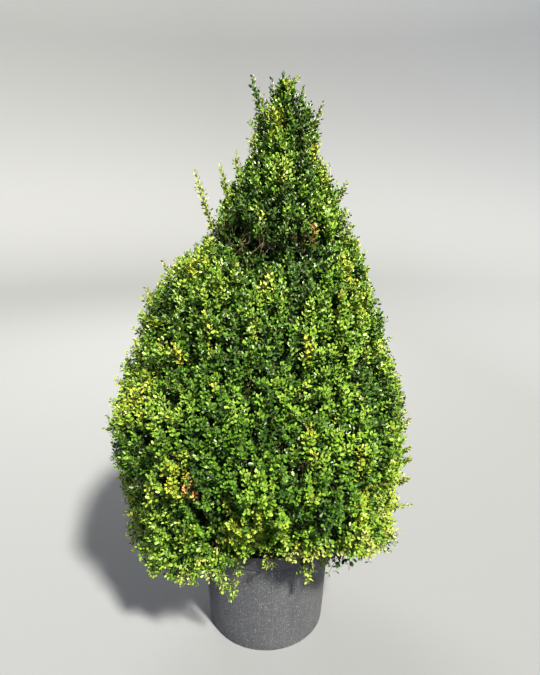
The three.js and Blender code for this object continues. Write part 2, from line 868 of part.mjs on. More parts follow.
function add(name, geometry, finish) {
  const mesh = new THREE.Mesh(geometry, new THREE.MeshStandardMaterial({ name: finish, ...FINISH[finish] }));
  mesh.name = name;
  plant.add(mesh);
}

add("pot", potGeometry(), "pot");
add("soil", soilGeometry(), "soil");
add("trunk", trunkGeometry(), "bark");

const trunkCutter = toManifold(trunkGeometry(CLEARANCE));
RINGS.forEach((ring, level) => {
  massesOf(ring, RINGS[level - 1]).forEach((mass) => {
    add(`bough_${mass.name}`, boughGeometry(mass, trunkCutter), "bark");
    add(`foliage_${mass.name}`, massGeometry(mass, 100 * (level + 1) + mass.order), "foliage");
  });
});
add("foliage_tip", tipGeometry(500), "foliage");

export default plant;
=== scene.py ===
"""Looks of the boxwood cone in its nursery pot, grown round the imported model.

Plans are in millimetres, as in the part's source, and meshes in metres. Azimuths are in degrees from +X
towards +Y, so 270 is the side that faces the camera.
"""

import logging
import math
from collections.abc import Callable, Sequence
from dataclasses import dataclass, field, replace
from enum import Enum, IntEnum

import bpy
import numpy as np
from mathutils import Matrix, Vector
from numpy.typing import NDArray

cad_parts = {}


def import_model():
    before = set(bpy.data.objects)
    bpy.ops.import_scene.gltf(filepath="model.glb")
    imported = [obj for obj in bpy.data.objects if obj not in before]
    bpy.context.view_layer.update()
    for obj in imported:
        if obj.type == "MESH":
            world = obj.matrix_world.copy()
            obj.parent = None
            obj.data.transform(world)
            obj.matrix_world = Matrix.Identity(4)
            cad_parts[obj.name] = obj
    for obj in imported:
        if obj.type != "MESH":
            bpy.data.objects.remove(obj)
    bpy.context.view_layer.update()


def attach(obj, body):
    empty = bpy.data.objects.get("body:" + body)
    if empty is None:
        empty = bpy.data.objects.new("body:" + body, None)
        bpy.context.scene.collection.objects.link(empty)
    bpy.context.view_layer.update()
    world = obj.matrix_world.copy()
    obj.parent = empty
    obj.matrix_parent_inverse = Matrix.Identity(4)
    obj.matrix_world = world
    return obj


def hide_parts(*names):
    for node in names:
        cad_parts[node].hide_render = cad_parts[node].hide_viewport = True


LOG = logging.getLogger("boxwood_cone")

MM = 0.001
CLEARANCE = 0.3
UP = np.array([0.0, 0.0, 1.0])

Numbers = NDArray[np.float64]
Faces = NDArray[np.int64]
Picks = NDArray[np.int32]
Mask = NDArray[np.bool_]
Draws = np.random.Generator
Finish = bpy.types.Material
Pair = tuple[float, float]
Triple = tuple[float, float, float]


# Numbers


def lerp(low: Numbers, high: Numbers, share: Numbers) -> Numbers:
    """The value at a share of the way from low to high."""
    return low + (high - low) * share


def bell(offset: Numbers, width: float) -> Numbers:
    """1 in the middle, falling off as exp(-(offset / width) squared)."""
    return np.exp(-((offset / width) ** 2))


def smooth(low: float, high: float, value: Numbers) -> Numbers:
    """0 below low and 1 above high, along 3 s squared minus 2 s cubed between them."""
    share = np.clip((value - low) / (high - low), 0.0, 1.0)
    return share * share * (3.0 - 2.0 * share)


def turn_between(azimuth: Numbers, other: float) -> Numbers:
    """The difference of two azimuths, from -180 to 180 degrees."""
    return (azimuth - other + 180.0) % 360.0 - 180.0


def unit(vectors: Numbers) -> Numbers:
    """Vectors divided by their lengths."""
    return vectors / np.maximum(np.linalg.norm(vectors, axis=-1, keepdims=True), 1e-9)


def stacked(*parts: Numbers) -> Numbers:
    """Arrays stretched to one shape and laid side by side on a new last axis."""
    return np.stack(np.broadcast_arrays(*parts), axis=-1)


def heading(azimuth: Numbers, rise: Numbers) -> Numbers:
    """Directions at an azimuth and a rise in degrees: (cos r cos a, cos r sin a, sin r)."""
    turn, slope = np.radians(azimuth), np.radians(rise)
    return stacked(np.cos(slope) * np.cos(turn), np.cos(slope) * np.sin(turn), np.sin(slope))


def sides_of(lines: Numbers) -> tuple[Numbers, Numbers]:
    """Two directions square to each line and to each other.

    Args:
        lines: Unit directions of the shape (rows, places, 3). They are built from the axis that the last
            place of a row runs along least.

    Returns:
        The two directions, each of the lines' shape.
    """
    least = np.eye(3)[np.argmin(np.abs(lines[:, -1]), axis=1)][:, None]
    across = unit(np.cross(lines, np.broadcast_to(least, lines.shape)))
    return across, np.cross(lines, across)


def along_curve(start: Numbers, bend: Numbers, end: Numbers, shares: Numbers) -> Numbers:
    """Points on curves (curves, shares, 3): (1-t) squared start, plus 2 t (1-t) bend, plus t squared end."""
    t = np.asarray(shares)[None, :, None]
    return (1 - t) ** 2 * start[:, None] + 2 * t * (1 - t) * bend[:, None] + t**2 * end[:, None]


def curve_lines(start: Numbers, bend: Numbers, end: Numbers, shares: Numbers) -> Numbers:
    """Unit directions along those curves (curves, shares, 3): (1-t) (bend - start) plus t (end - bend)."""
    t = np.asarray(shares)[None, :, None]
    return unit((1 - t) * (bend - start)[:, None] + t * (end - bend)[:, None])


class Seeded:
    """The source's repeatable run of numbers from 0 to 1: a 32-bit count stirred by shifts and products."""

    BITS = 32
    MASK = 2**BITS - 1
    STEP = 0x6D2B79F5
    SHIFTS = (15, 7, 14)
    SET_BITS = (1, 61)

    def __init__(self, seed: int) -> None:
        """Starts the run for one seed."""
        self.state = seed & self.MASK

    def __call__(self) -> float:
        """Steps the count on and stirs it.

        Returns:
            The next number.
        """
        first, second, last = self.SHIFTS
        low, high = self.SET_BITS
        state = self.state = (self.state + self.STEP) & self.MASK
        mixed = ((state ^ (state >> first)) * (state | low)) & self.MASK
        stirred = ((mixed ^ (mixed >> second)) * (mixed | high)) & self.MASK
        mixed ^= (mixed + stirred) & self.MASK
        return (mixed ^ (mixed >> last)) / 2**self.BITS


@dataclass(frozen=True)
class Ripple:
    """Smooth noise in space, about -2 to 2: a sum of sines of about one wavelength along seeded lines."""

    wavelength: float
    seed: int
    waves: int = 9
    spread: Pair = (0.7, 1.4)

    def __call__(self, points: Numbers) -> Numbers:
        """Adds up the sines.

        Args:
            points: Points in millimetres, their last axis x, y, z.

        Returns:
            The noise at each point.
        """
        random = np.random.default_rng(self.seed)
        directions = unit(random.normal(size=(self.waves, 3)))
        lengths = self.wavelength * random.uniform(*self.spread, self.waves)
        phases = random.uniform(0.0, 2.0 * math.pi, self.waves)
        turns = points @ (directions * (2.0 * math.pi / lengths)[:, None]).T
        return np.sin(turns + phases).sum(axis=-1) / math.sqrt(self.waves / 2.0)


def on_cylinder(radius: float, angles: Numbers, lengths: Numbers) -> Numbers:
    """Points of the shape (lengths, angles, 3) at (radius cos a, radius sin a, length)."""
    return stacked(radius * np.cos(angles), radius * np.sin(angles), lengths[:, None])


# About the mean of a ripple without its sign
RIDGE_MEAN = 0.8


# Meshes


def make_piece(
    name: str,
    points: Numbers,
    faces: Sequence[Faces],
    finishes: Sequence[Finish],
    picks: Picks | None = None,
) -> bpy.types.Object:
    """Makes an object at the origin from points in millimetres.

    Args:
        name: The piece's name.
        points: One row a point.
        faces: Blocks of faces, each block with its own number of corners a face.
        finishes: The materials of its slots.
        picks: The slot of each face, in the order of the blocks, or None where there is one.

    Returns:
        The linked object, with smooth faces.
    """
    corners = np.concatenate([block.ravel() for block in faces])
    widths = np.concatenate([np.full(len(block), block.shape[1]) for block in faces])
    starts = np.concatenate([[0], np.cumsum(widths)[:-1]])
    mesh = bpy.data.meshes.new(name)
    mesh.vertices.add(len(points))
    mesh.vertices.foreach_set("co", (points * MM).astype(np.float32).ravel())
    mesh.loops.add(len(corners))
    mesh.loops.foreach_set("vertex_index", corners.astype(np.int32))
    mesh.polygons.add(len(widths))
    mesh.polygons.foreach_set("loop_start", starts.astype(np.int32))
    mesh.polygons.foreach_set("use_smooth", np.ones(len(widths), dtype=bool))
    for finish in finishes:
        mesh.materials.append(finish)
    if picks is not None:
        mesh.polygons.foreach_set("material_index", picks.astype(np.int32))
    mesh.update(calc_edges=True)
    piece = bpy.data.objects.new(name, mesh)
    bpy.context.scene.collection.objects.link(piece)
    return piece


def join_piece(name: str, parts: Sequence[tuple[Numbers, list[Faces]]], finish: Finish) -> bpy.types.Object:
    """Joins parts of one finish into one piece.

    Args:
        name: The piece's name.
        parts: The points and the blocks of faces of each part.
        finish: The material.

    Returns:
        The linked object.
    """
    first = np.cumsum([0] + [len(points) for points, _ in parts])
    blocks = [block + start for (_, faces), start in zip(parts, first) for block in faces]
    return make_piece(name, np.concatenate([points for points, _ in parts]), blocks, [finish])


def settle(piece: bpy.types.Object, nodes: Sequence[str]) -> None:
    """Lets a piece ride on the plant's body and stand for its nodes, which are hidden.

    Args:
        piece: The finished piece.
        nodes: The nodes it stands for.
    """
    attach(piece, "root")
    if nodes:
        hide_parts(*nodes)
    triangles = len(piece.data.loops) - 2 * len(piece.data.polygons)
    LOG.info("%s: %d triangles", piece.name, triangles)


def tubes(paths: Numbers, radii: Numbers) -> tuple[Numbers, list[Faces]]:
    """Closed tubes round many paths: each ring is the path's point plus radius times a circle square to it.

    Args:
        paths: Points of the shape (tubes, rings, 3).
        radii: Radii of the shape (tubes, rings, sides).

    Returns:
        The points, and blocks of four-cornered wall faces and of end faces.
    """
    count, rings, sides = radii.shape
    across, aside = sides_of(unit(np.gradient(paths, axis=1)))
    angles = 2.0 * math.pi * np.arange(sides) / sides
    spokes = across[:, :, None] * np.cos(angles)[:, None] + aside[:, :, None] * np.sin(angles)[:, None]
    points = paths[:, :, None] + spokes * radii[..., None]
    tube, ring, side = np.meshgrid(np.arange(count), np.arange(rings - 1), np.arange(sides), indexing="ij")
    low = (tube * rings + ring) * sides
    following = (side + 1) % sides
    walls = stacked(low + side, low + following, low + sides + following, low + sides + side)
    first = (np.arange(count) * rings * sides)[:, None] + np.arange(sides)
    last = first + (rings - 1) * sides
    ends = np.concatenate([first[:, ::-1], last])
    return points.reshape(-1, 3), [walls.reshape(-1, 4), ends]


def lathe(profile: Numbers, angles: Numbers, reach: Numbers | None = None) -> tuple[Numbers, list[Faces]]:
    """Turns a profile round the Z axis: x = r cos a, y = r sin a, closed all round.

    Args:
        profile: Rows of radius and height, from the pole at the bottom out and up to the pole at the top.
        angles: Angles in degrees, without the last that meets the first.
        reach: What is added to the radius, of the shape (profile, angles), or None.

    Returns:
        The points, and blocks of four-cornered faces and of three-cornered faces at the poles.
    """
    turn = np.radians(angles)
    inner = profile[1:-1]
    radius = inner[:, 0, None] + (0.0 if reach is None else reach[1:-1])
    rings = stacked(radius * np.cos(turn), radius * np.sin(turn), inner[:, 1, None]).reshape(-1, 3)
    poles = np.array([[0.0, 0.0, profile[0, 1]], [0.0, 0.0, profile[-1, 1]]])
    points = np.concatenate([rings, poles])
    columns = len(angles)
    row, column = np.meshgrid(np.arange(len(inner) - 1), np.arange(columns), indexing="ij")
    following = (column + 1) % columns
    low = row * columns
    high = low + columns
    walls = stacked(low + column, low + following, high + following, high + column)
    around = np.arange(columns)
    after = (around + 1) % columns
    top = (len(inner) - 1) * columns
    bottom_fan = stacked(len(rings), after, around)
    top_fan = stacked(len(rings) + 1, top + around, top + after)
    return points, [walls.reshape(-1, 4), np.concatenate([bottom_fan, top_fan])]


def rounded(corners: Sequence[Triple], steps: int = 4) -> Numbers:
    """Rounds a profile's corners with small curves of second degree that start the given length before each.

    Args:
        corners: Radius, height and length of rounding of each corner.
        steps: Pieces of each rounding.

    Returns:
        Rows of radius and height.
    """
    spots = np.array([corner[:2] for corner in corners])
    rows = []
    for index, (_, _, length) in enumerate(corners):
        here = spots[index]
        if length == 0.0:
            rows.append(here[None])
            continue
        before = here + unit(spots[index - 1] - here) * length
        after = here + unit(spots[index + 1] - here) * length
        rows.append(along_curve(before[None], here[None], after[None], np.linspace(0, 1, steps + 1))[0])
    return np.concatenate(rows)


# Finishes


def linear(hex_colour: str) -> tuple[float, float, float, float]:
    """Turns sRGB hex to linear: c / 12.92 up to 0.04045, above it ((c + 0.055) / 1.055) to the power 2.4."""
    parts = [int(hex_colour[start : start + 2], 16) / 255.0 for start in (1, 3, 5)]
    return *(p / 12.92 if p <= 0.04045 else ((p + 0.055) / 1.055) ** 2.4 for p in parts), 1.0


def add_node(
    tree: bpy.types.NodeTree,
    kind: str,
    settings: dict[str, object] | None = None,
    values: dict[int | str, object] | None = None,
    links: dict[int | str, bpy.types.Node | bpy.types.NodeSocket] | None = None,
) -> bpy.types.Node:
    """Adds a node with its settings, socket values and links.

    Args:
        tree: The node tree.
        kind: The node's type, without the ShaderNode that it starts with.
        settings: Attributes of the node.
        values: Values of its inputs, by name or number.
        links: What runs into its inputs: another node's output, or another node, for its first output.

    Returns:
        The node.
    """
    node = tree.nodes.new(f"ShaderNode{kind}")
    for name, value in (settings or {}).items():
        setattr(node, name, value)
    for name, value in (values or {}).items():
        node.inputs[name].default_value = value
    for name, source in (links or {}).items():
        socket = source.outputs[0] if isinstance(source, bpy.types.Node) else source
        tree.links.new(socket, node.inputs[name])
    return node


def new_finish(name: str, **values: object) -> tuple[Finish, bpy.types.Node, bpy.types.NodeSocket]:
    """Starts a material on Object coordinates.

    Args:
        name: The material's name.
        **values: Values of the shader's sockets, with _ for a space.

    Returns:
        The material, its shader, and the coordinates' socket.
    """
    finish = bpy.data.materials.new(name)
    finish.use_nodes = True
    shader = finish.node_tree.nodes["Principled BSDF"]
    for key, value in values.items():
        shader.inputs[key.replace("_", " ")].default_value = value
    place = add_node(finish.node_tree, "TexCoord")
    return finish, shader, place.outputs["Object"]


def drive(shader: bpy.types.Node, **sources: bpy.types.NodeSocket) -> None:
    """Links outputs into the shader's inputs, which are named with _ for a space."""
    for name, socket in sources.items():
        shader.id_data.links.new(socket, shader.inputs[name.replace("_", " ")])


def span(low: float, high: float) -> dict[str, float]:
    """The settings of a map range from low to high."""
    return {"From Min": low, "From Max": high}


def per_metre(size_mm: float) -> float:
    """The scale of a pattern whose cells are that many millimetres wide."""
    return 1.0 / (size_mm * MM)


@dataclass(frozen=True)
class BoxLeaf:
    """Box leaf: a leathery blade. Its wax gives small whitish glints, and no two leaves are one green."""

    name: str
    colour: str
    deeper: str
    roughness: float = 0.36
    smoother: float = 0.08
    rougher: float = 0.14
    ior: float = 1.45
    leaf_mm: float = 11.0
    branch_mm: float = 130.0
    detail: float = 1.0
    share_ends: Pair = (0.72, 1.28)

    def make(self) -> Finish:
        """Mixes two greens by noise of a leaf's size and of a branch's size.

        Returns:
            The material.
        """
        finish, shader, place = new_finish(self.name, IOR=self.ior, Roughness=self.roughness)
        tree = finish.node_tree
        sizes = (self.leaf_mm, self.branch_mm)
        noises = [{"Scale": per_metre(size), "Detail": self.detail} for size in sizes]
        fine, broad = (add_node(tree, "TexNoise", None, noise, {"Vector": place}) for noise in noises)
        both = add_node(tree, "Math", {"operation": "ADD"}, None, {0: fine, 1: broad})
        share = add_node(tree, "MapRange", None, span(*self.share_ends), {"Value": both})
        greens = {6: linear(self.deeper), 7: linear(self.colour)}
        mix = add_node(tree, "Mix", {"data_type": "RGBA"}, greens, {0: share})
        sheen = {"To Min": self.roughness - self.smoother, "To Max": self.roughness + self.rougher}
        gloss = add_node(tree, "MapRange", None, sheen, {"Value": fine})
        drive(shader, Base_Color=mix.outputs[2], Roughness=gloss.outputs["Result"])
        return finish


@dataclass(frozen=True)
class BoxBark:
    """Box bark: dull and fibrous, corky and finely cracked on old wood, smoother and greener on twigs."""

    name: str
    colour: str
    crack: str
    crack_mm: float = 5.0
    length_share: float = 0.25
    depth_mm: float = 0.8
    relief: float = 0.8
    roughness: float = 0.85
    ior: float = 1.45
    detail: float = 4.0
    ragged: float = 0.6
    share_ends: Pair = (0.38, 0.6)

    def make(self) -> Finish:
        """Stretches a cracked noise along the wood, for the colour and for a bump.

        Returns:
            The material.
        """
        finish, shader, place = new_finish(self.name, Roughness=self.roughness, IOR=self.ior)
        tree = finish.node_tree
        upright = {"Scale": (1.0, 1.0, self.length_share)}
        stretch = add_node(tree, "Mapping", None, upright, {"Vector": place})
        noise = {"Scale": per_metre(self.crack_mm), "Detail": self.detail, "Roughness": self.ragged}
        cracks = add_node(tree, "TexNoise", None, noise, {"Vector": stretch})
        share = add_node(tree, "MapRange", None, span(*self.share_ends), {"Value": cracks})
        browns = {6: linear(self.crack), 7: linear(self.colour)}
        mix = add_node(tree, "Mix", {"data_type": "RGBA"}, browns, {0: share})
        raised = {"Distance": self.depth_mm * MM, "Strength": self.relief}
        bump = add_node(tree, "Bump", None, raised, {"Height": cracks})
        drive(shader, Base_Color=mix.outputs[2], Normal=bump.outputs["Normal"])
        return finish


@dataclass(frozen=True)
class NurseryPlastic:
    """Black polypropylene, injection moulded: matt, with flow streaks up the wall and pale dust in specks."""

    name: str = "moulded_black_polypropylene"
    colour: str = "#4b4e54"
    shade: str = "#393c42"
    dust: str = "#a3a09b"
    roughness: float = 0.55
    ior: float = 1.49
    streak_mm: float = 5.0
    streak_share: float = 0.03
    streak_detail: float = 3.0
    cloud_mm: float = 70.0
    cloud_detail: float = 5.0
    cloud_rag: float = 0.6
    grey_ends: Pair = (0.6, 1.4)
    speck_mm: float = 3.2
    speck_rag: float = 0.7
    dust_from: float = 0.59
    dust_to: float = 0.68
    dust_most: float = 0.75
    grain_mm: float = 0.9
    fine_detail: float = 2.0
    depth_mm: float = 0.3
    relief: float = 0.5

    def make(self) -> Finish:
        """Mixes two greys by upright streaks and clouds, lays dust specks over them and adds a fine grain.

        Returns:
            The material.
        """
        finish, shader, place = new_finish(self.name, Roughness=self.roughness, IOR=self.ior)
        tree = finish.node_tree
        upright = {"Scale": (1.0, 1.0, self.streak_share)}
        stretch = add_node(tree, "Mapping", None, upright, {"Vector": place})
        noise = {"Scale": per_metre(self.streak_mm), "Detail": self.streak_detail}
        streaks = add_node(tree, "TexNoise", None, noise, {"Vector": stretch})
        noise = {"Scale": per_metre(self.cloud_mm), "Detail": self.cloud_detail, "Roughness": self.cloud_rag}
        clouds = add_node(tree, "TexNoise", None, noise, {"Vector": place})
        both = add_node(tree, "Math", {"operation": "ADD"}, None, {0: streaks, 1: clouds})
        share = add_node(tree, "MapRange", None, span(*self.grey_ends), {"Value": both})
        greys = {6: linear(self.shade), 7: linear(self.colour)}
        wall = add_node(tree, "Mix", {"data_type": "RGBA"}, greys, {0: share})
        noise = {"Scale": per_metre(self.speck_mm), "Detail": self.fine_detail, "Roughness": self.speck_rag}
        specks = add_node(tree, "TexNoise", None, noise, {"Vector": place})
        ends = {"From Min": self.dust_from, "From Max": self.dust_to, "To Max": self.dust_most}
        dusty = add_node(tree, "MapRange", None, ends, {"Value": specks})
        sources = {0: dusty, 6: wall.outputs[2]}
        coat = add_node(tree, "Mix", {"data_type": "RGBA"}, {7: linear(self.dust)}, sources)
        noise = {"Scale": per_metre(self.grain_mm), "Detail": self.fine_detail}
        grain = add_node(tree, "TexNoise", None, noise, {"Vector": place})
        raised = {"Distance": self.depth_mm * MM, "Strength": self.relief}
        height = add_node(tree, "Math", {"operation": "ADD"}, None, {0: grain, 1: streaks})
        bump = add_node(tree, "Bump", None, raised, {"Height": height})
        drive(shader, Base_Color=coat.outputs[2], Normal=bump.outputs["Normal"])
        return finish


@dataclass(frozen=True)
class PottingMix:
    """Bark compost: dark crumbs and fibres with paler chips. Damp, so it is dark and dull."""

    name: str
    colour: str
    crumb: str
    crumb_mm: float = 6.0
    patch_crumbs: float = 2.0
    patch_detail: float = 4.0
    roughness: float = 0.95
    ior: float = 1.4
    depth_mm: float = 2.0
    relief: float = 0.7

    def make(self) -> Finish:
        """Mixes two browns in patches of some crumbs and raises the crumbs.

        Returns:
            The material.
        """
        finish, shader, place = new_finish(self.name, Roughness=self.roughness, IOR=self.ior)
        tree = finish.node_tree
        cells = {"Scale": per_metre(self.crumb_mm)}
        crumbs = add_node(tree, "TexVoronoi", None, cells, {"Vector": place})
        noise = {"Scale": per_metre(self.crumb_mm * self.patch_crumbs), "Detail": self.patch_detail}
        patches = add_node(tree, "TexNoise", None, noise, {"Vector": place})
        browns = {6: linear(self.colour), 7: linear(self.crumb)}
        mix = add_node(tree, "Mix", {"data_type": "RGBA"}, browns, {0: patches})
        raised = {"Distance": self.depth_mm * MM, "Strength": self.relief}
        bump = add_node(tree, "Bump", None, raised, {"Height": crumbs})
        drive(shader, Base_Color=mix.outputs[2], Normal=bump.outputs["Normal"])
        return finish


class Tone(IntEnum):
    """The leaf finishes, in the order of their slots."""

    DEEP = 0
    MID = 1
    FRESH = 2
    LIME = 3
    YELLOW = 4
    PALE = 5
    TAN = 6


LEAF_FINISHES = {
    Tone.DEEP: BoxLeaf("leaf_old_deep_green", "#37561f", "#213b12", roughness=0.39),
    Tone.MID: BoxLeaf("leaf_mid_green", "#547825", "#395a1b", roughness=0.38),
    Tone.FRESH: BoxLeaf("leaf_fresh_green", "#739330", "#557826", roughness=0.4),
    Tone.LIME: BoxLeaf("leaf_young_lime", "#859b38", "#66822a", roughness=0.42),
    Tone.YELLOW: BoxLeaf("leaf_tip_yellow", "#9d9f3a", "#7f8b2c", roughness=0.46),
    Tone.PALE: BoxLeaf("leaf_pale_cream_green", "#989f58", "#738340", roughness=0.46),
    Tone.TAN: BoxLeaf("leaf_dry_tan", "#c2965a", "#9a7442", roughness=0.6),
}


# The crown's form, as in the source


@dataclass(frozen=True)
class Crown:
    """The crown out to its shoot tips: half its width and how far its middle stands off the pot's axis.

    Each wave is a depth, a number round the crown, a twist in degrees a millimetre and a phase. Each turn of
    the hem is an azimuth, a rise and a width. The recess over the rim is an azimuth, a width, a depth and the
    heights between which it ends.
    """

    heights: tuple[float, ...] = (340, 500, 800, 900, 1000, 1200, 1300, 1400, 1500, 1600, 1700, 1800, 1860)
    radii: tuple[float, ...] = (463, 484, 497, 477, 444, 373, 316, 247, 196, 138, 95, 62, 30)
    shifts: tuple[float, ...] = (-17, -11, -21, -25, -16, 0, 17, 40, 51, 56, 62, 58, 55)
    waves: tuple[tuple[float, float, float, float], ...] = ((11, 5, 0.52, 20), (9, 3, -0.8, 130))
    fade_radius: float = 300.0
    fade_least: float = 0.3
    hem_height: float = 375.0
    hem_turns: tuple[Triple, ...] = (
        (268, 85, 22),
        (306, 100, 22),
        (222, -50, 26),
        (110, 22, 30),
        (20, -15, 24),
    )
    hang: float = 452.0
    recess: tuple[float, float, float, float, float] = (268, 26, 150, 500, 740)

    def radius(self, height: Numbers) -> Numbers:
        """Half the crown's width, straight between its stations."""
        return np.interp(height, self.heights, self.radii)

    def shift(self, height: Numbers) -> Numbers:
        """How far the crown's middle stands off the pot's axis, straight between its stations."""
        return np.interp(height, self.heights, self.shifts)

    def reach(self, azimuth: Numbers, height: Numbers) -> Numbers:
        """Reach of the shoot tips: the radius less waves round the crown, drawn in over the rim in front.

        Args:
            azimuth: Where round the crown.
            height: How high.

        Returns:
            The distance from the crown's middle.
        """
        radius = self.radius(height)
        fade = np.clip(radius / self.fade_radius, self.fade_least, 1.0)
        reach = radius
        for depth, lobes, twist, phase in self.waves:
            swing = np.sin(np.radians(lobes * azimuth + twist * height + phase))
            reach = reach + depth / 2 * (swing - 1) * fade
        middle, width, depth, low, high = self.recess
        drawn_in = bell(turn_between(azimuth, middle), width) * (1 - smooth(low, high, height))
        return reach - depth * drawn_in

    def hem(self, azimuth: Numbers) -> Numbers:
        """The lowest reach of the foliage: a height plus bells where it lifts or dips."""
        lifts = (rise * bell(turn_between(azimuth, middle), width) for middle, rise, width in self.hem_turns)
        return sum(lifts, self.hem_height)

    def place(self, azimuth: Numbers, radius: Numbers, height: Numbers) -> Numbers:
        """Points at a radius from the crown's middle: (shift + r cos a, r sin a, h)."""
        turn = np.radians(azimuth)
        return stacked(self.shift(height) + radius * np.cos(turn), radius * np.sin(turn), height)

    def depth(self, points: Numbers) -> Numbers:
        """How far points lie inside the crown's surface, measured level."""
        off = np.hypot(points[..., 0] - self.shift(points[..., 2]), points[..., 1])
        return self.reach(self.azimuth_of(points), points[..., 2]) - off

    def azimuth_of(self, points: Numbers) -> Numbers:
        """Azimuths of points round the crown's middle."""
        return np.degrees(np.arctan2(points[..., 1], points[..., 0] - self.shift(points[..., 2])))


CROWN = Crown()


@dataclass(frozen=True)
class Pocket:
    """A hollow in the crown's surface: where it is, its half width and half height, and its depth."""

    azimuth: float
    height: float
    width: float
    tall: float
    depth: float

    def share(self, azimuth: Numbers, height: Numbers) -> Numbers:
        """1 in its middle, falling off as two bells across and along the crown."""
        across = np.radians(turn_between(azimuth, self.azimuth)) * CROWN.radius(height)
        return bell(across, self.width) * bell(height - self.height, self.tall)


POCKETS = (
    Pocket(229, 1408, 44, 28, 130),
    Pocket(247, 1390, 56, 34, 130),
    Pocket(264, 1358, 54, 33, 124),
    Pocket(192, 1606, 44, 40, 19),
    Pocket(288, 1400, 46, 20, 90),
    Pocket(299, 1452, 22, 14, 45),
    Pocket(225, 1420, 50, 16, 50),
    Pocket(260, 1172, 26, 34, 60),
    Pocket(284, 1072, 24, 30, 55),
    Pocket(236, 1126, 20, 64, 60),
    Pocket(224, 1040, 22, 40, 50),
    Pocket(264, 1034, 30, 22, 50),
    Pocket(266, 872, 24, 22, 18),
    Pocket(252, 668, 34, 24, 60),
    Pocket(283, 600, 60, 19, 80),
    Pocket(300, 940, 26, 30, 45),
    Pocket(225, 900, 26, 40, 55),
    Pocket(214, 1150, 20, 40, 50),
    Pocket(30, 1020, 30, 34, 60),
    Pocket(75, 760, 34, 28, 60),
    Pocket(120, 1130, 28, 40, 60),
    Pocket(155, 840, 30, 34, 60),
    Pocket(190, 640, 36, 26, 60),
    Pocket(340, 700, 30, 30, 50),
    Pocket(5, 620, 34, 26, 55),
    Pocket(60, 1260, 26, 34, 55),
    Pocket(100, 1395, 50, 20, 40),
    Pocket(20, 1405, 40, 20, 40),
)


def hollow_depth(azimuth: Numbers, height: Numbers) -> Numbers:
    """How far all pockets together draw the crown's surface in at a place."""
    return sum(pocket.share(azimuth, height) * pocket.depth for pocket in POCKETS)


@dataclass(frozen=True)
class Accent:
    """A patch of sprays that take one tone: where it is, how wide it is and how many of them take it."""

    azimuth: float
    height: float
    width: float
    tone: Tone
    part: float

    def share(self, azimuth: Numbers, height: Numbers) -> Numbers:
        """The share of sprays that take the tone, a bell over the distance on the surface."""
        across = np.radians(turn_between(azimuth, self.azimuth)) * CROWN.radius(height)
        return self.part * bell(np.hypot(across, height - self.height), self.width)


ACCENTS = (
    Accent(244, 790, 52, Tone.TAN, 0.16),
    Accent(251, 720, 44, Tone.TAN, 0.24),
    Accent(240, 835, 60, Tone.YELLOW, 0.5),
    Accent(249, 745, 70, Tone.YELLOW, 0.4),
    Accent(285, 775, 24, Tone.YELLOW, 0.9),
    Accent(292, 691, 22, Tone.YELLOW, 0.8),
    Accent(298, 630, 30, Tone.YELLOW, 0.7),
    Accent(262, 1610, 120, Tone.FRESH, 0.45),
    Accent(251, 1729, 34, Tone.YELLOW, 0.8),
    Accent(275, 1400, 34, Tone.YELLOW, 0.7),
    Accent(299, 1450, 18, Tone.TAN, 1.0),
    Accent(266, 600, 150, Tone.FRESH, 0.75),
    Accent(262, 640, 80, Tone.LIME, 0.35),
    Accent(246, 680, 60, Tone.YELLOW, 0.25),
    Accent(284, 610, 60, Tone.PALE, 0.3),
    Accent(303, 777, 16, Tone.TAN, 0.12),
    Accent(300, 670, 16, Tone.TAN, 0.12),
    Accent(286, 855, 16, Tone.TAN, 0.25),
    Accent(316, 980, 100, Tone.FRESH, 0.45),
    Accent(218, 900, 150, Tone.FRESH, 0.5),
    Accent(214, 1000, 90, Tone.LIME, 0.4),
    Accent(210, 820, 90, Tone.LIME, 0.35),
    Accent(222, 440, 130, Tone.FRESH, 0.75),
    Accent(236, 520, 70, Tone.MID, 0.3),
    Accent(330, 760, 120, Tone.LIME, 0.12),
    Accent(70, 900, 110, Tone.LIME, 0.35),
    Accent(140, 700, 100, Tone.LIME, 0.35),
    Accent(110, 1300, 60, Tone.YELLOW, 0.4),
    Accent(25, 560, 50, Tone.YELLOW, 0.4),
    Accent(165, 1050, 40, Tone.TAN, 0.3),
    Accent(50, 640, 36, Tone.TAN, 0.3),
)


# The masses and the growth rule, as in the source


@dataclass(frozen=True)
class Ring:
    """A ring of masses and the boughs that carry them.

    The first mass is at the azimuth turn, and the upper border is at the height high, with waves. The hollow
    inside narrows from inner to neck, as shares of the crown. The boughs leave the leader from foot
    up and rise by slope at their tips, and bough is their radius.
    """

    name: str
    count: int
    turn: float
    high: float
    wave: float
    tufts: int
    size: float
    inner: float
    neck: float
    foot: float
    slope: float
    bough: float
    tier: bool = False


BORDER_WAVES = 3

RINGS = (
    Ring("skirt", 6, 36, 705, 30, 16, 1, 0.5, 0.5, 420, 20, 9),
    Ring("body", 6, 6, 1075, 30, 16, 1, 0.48, 0.48, 590, 42, 8),
    Ring("shoulder", 4, 45, 0, 0, 18, 0.95, 0.44, 0.16, 1010, 55, 6.5, tier=True),
    Ring("spire", 3, 30, 1640, 0, 13, 0.82, 0.25, 0.28, 1440, 50, 4.5),
)


@dataclass(frozen=True)
class Tier:
    """The dark tier over the shoulder: its height, half its gap in front and behind, and its front."""

    height: float = 1395.0
    front: float = 8.0
    back: float = 3.0
    azimuth: float = 268.0
    width: float = 50.0


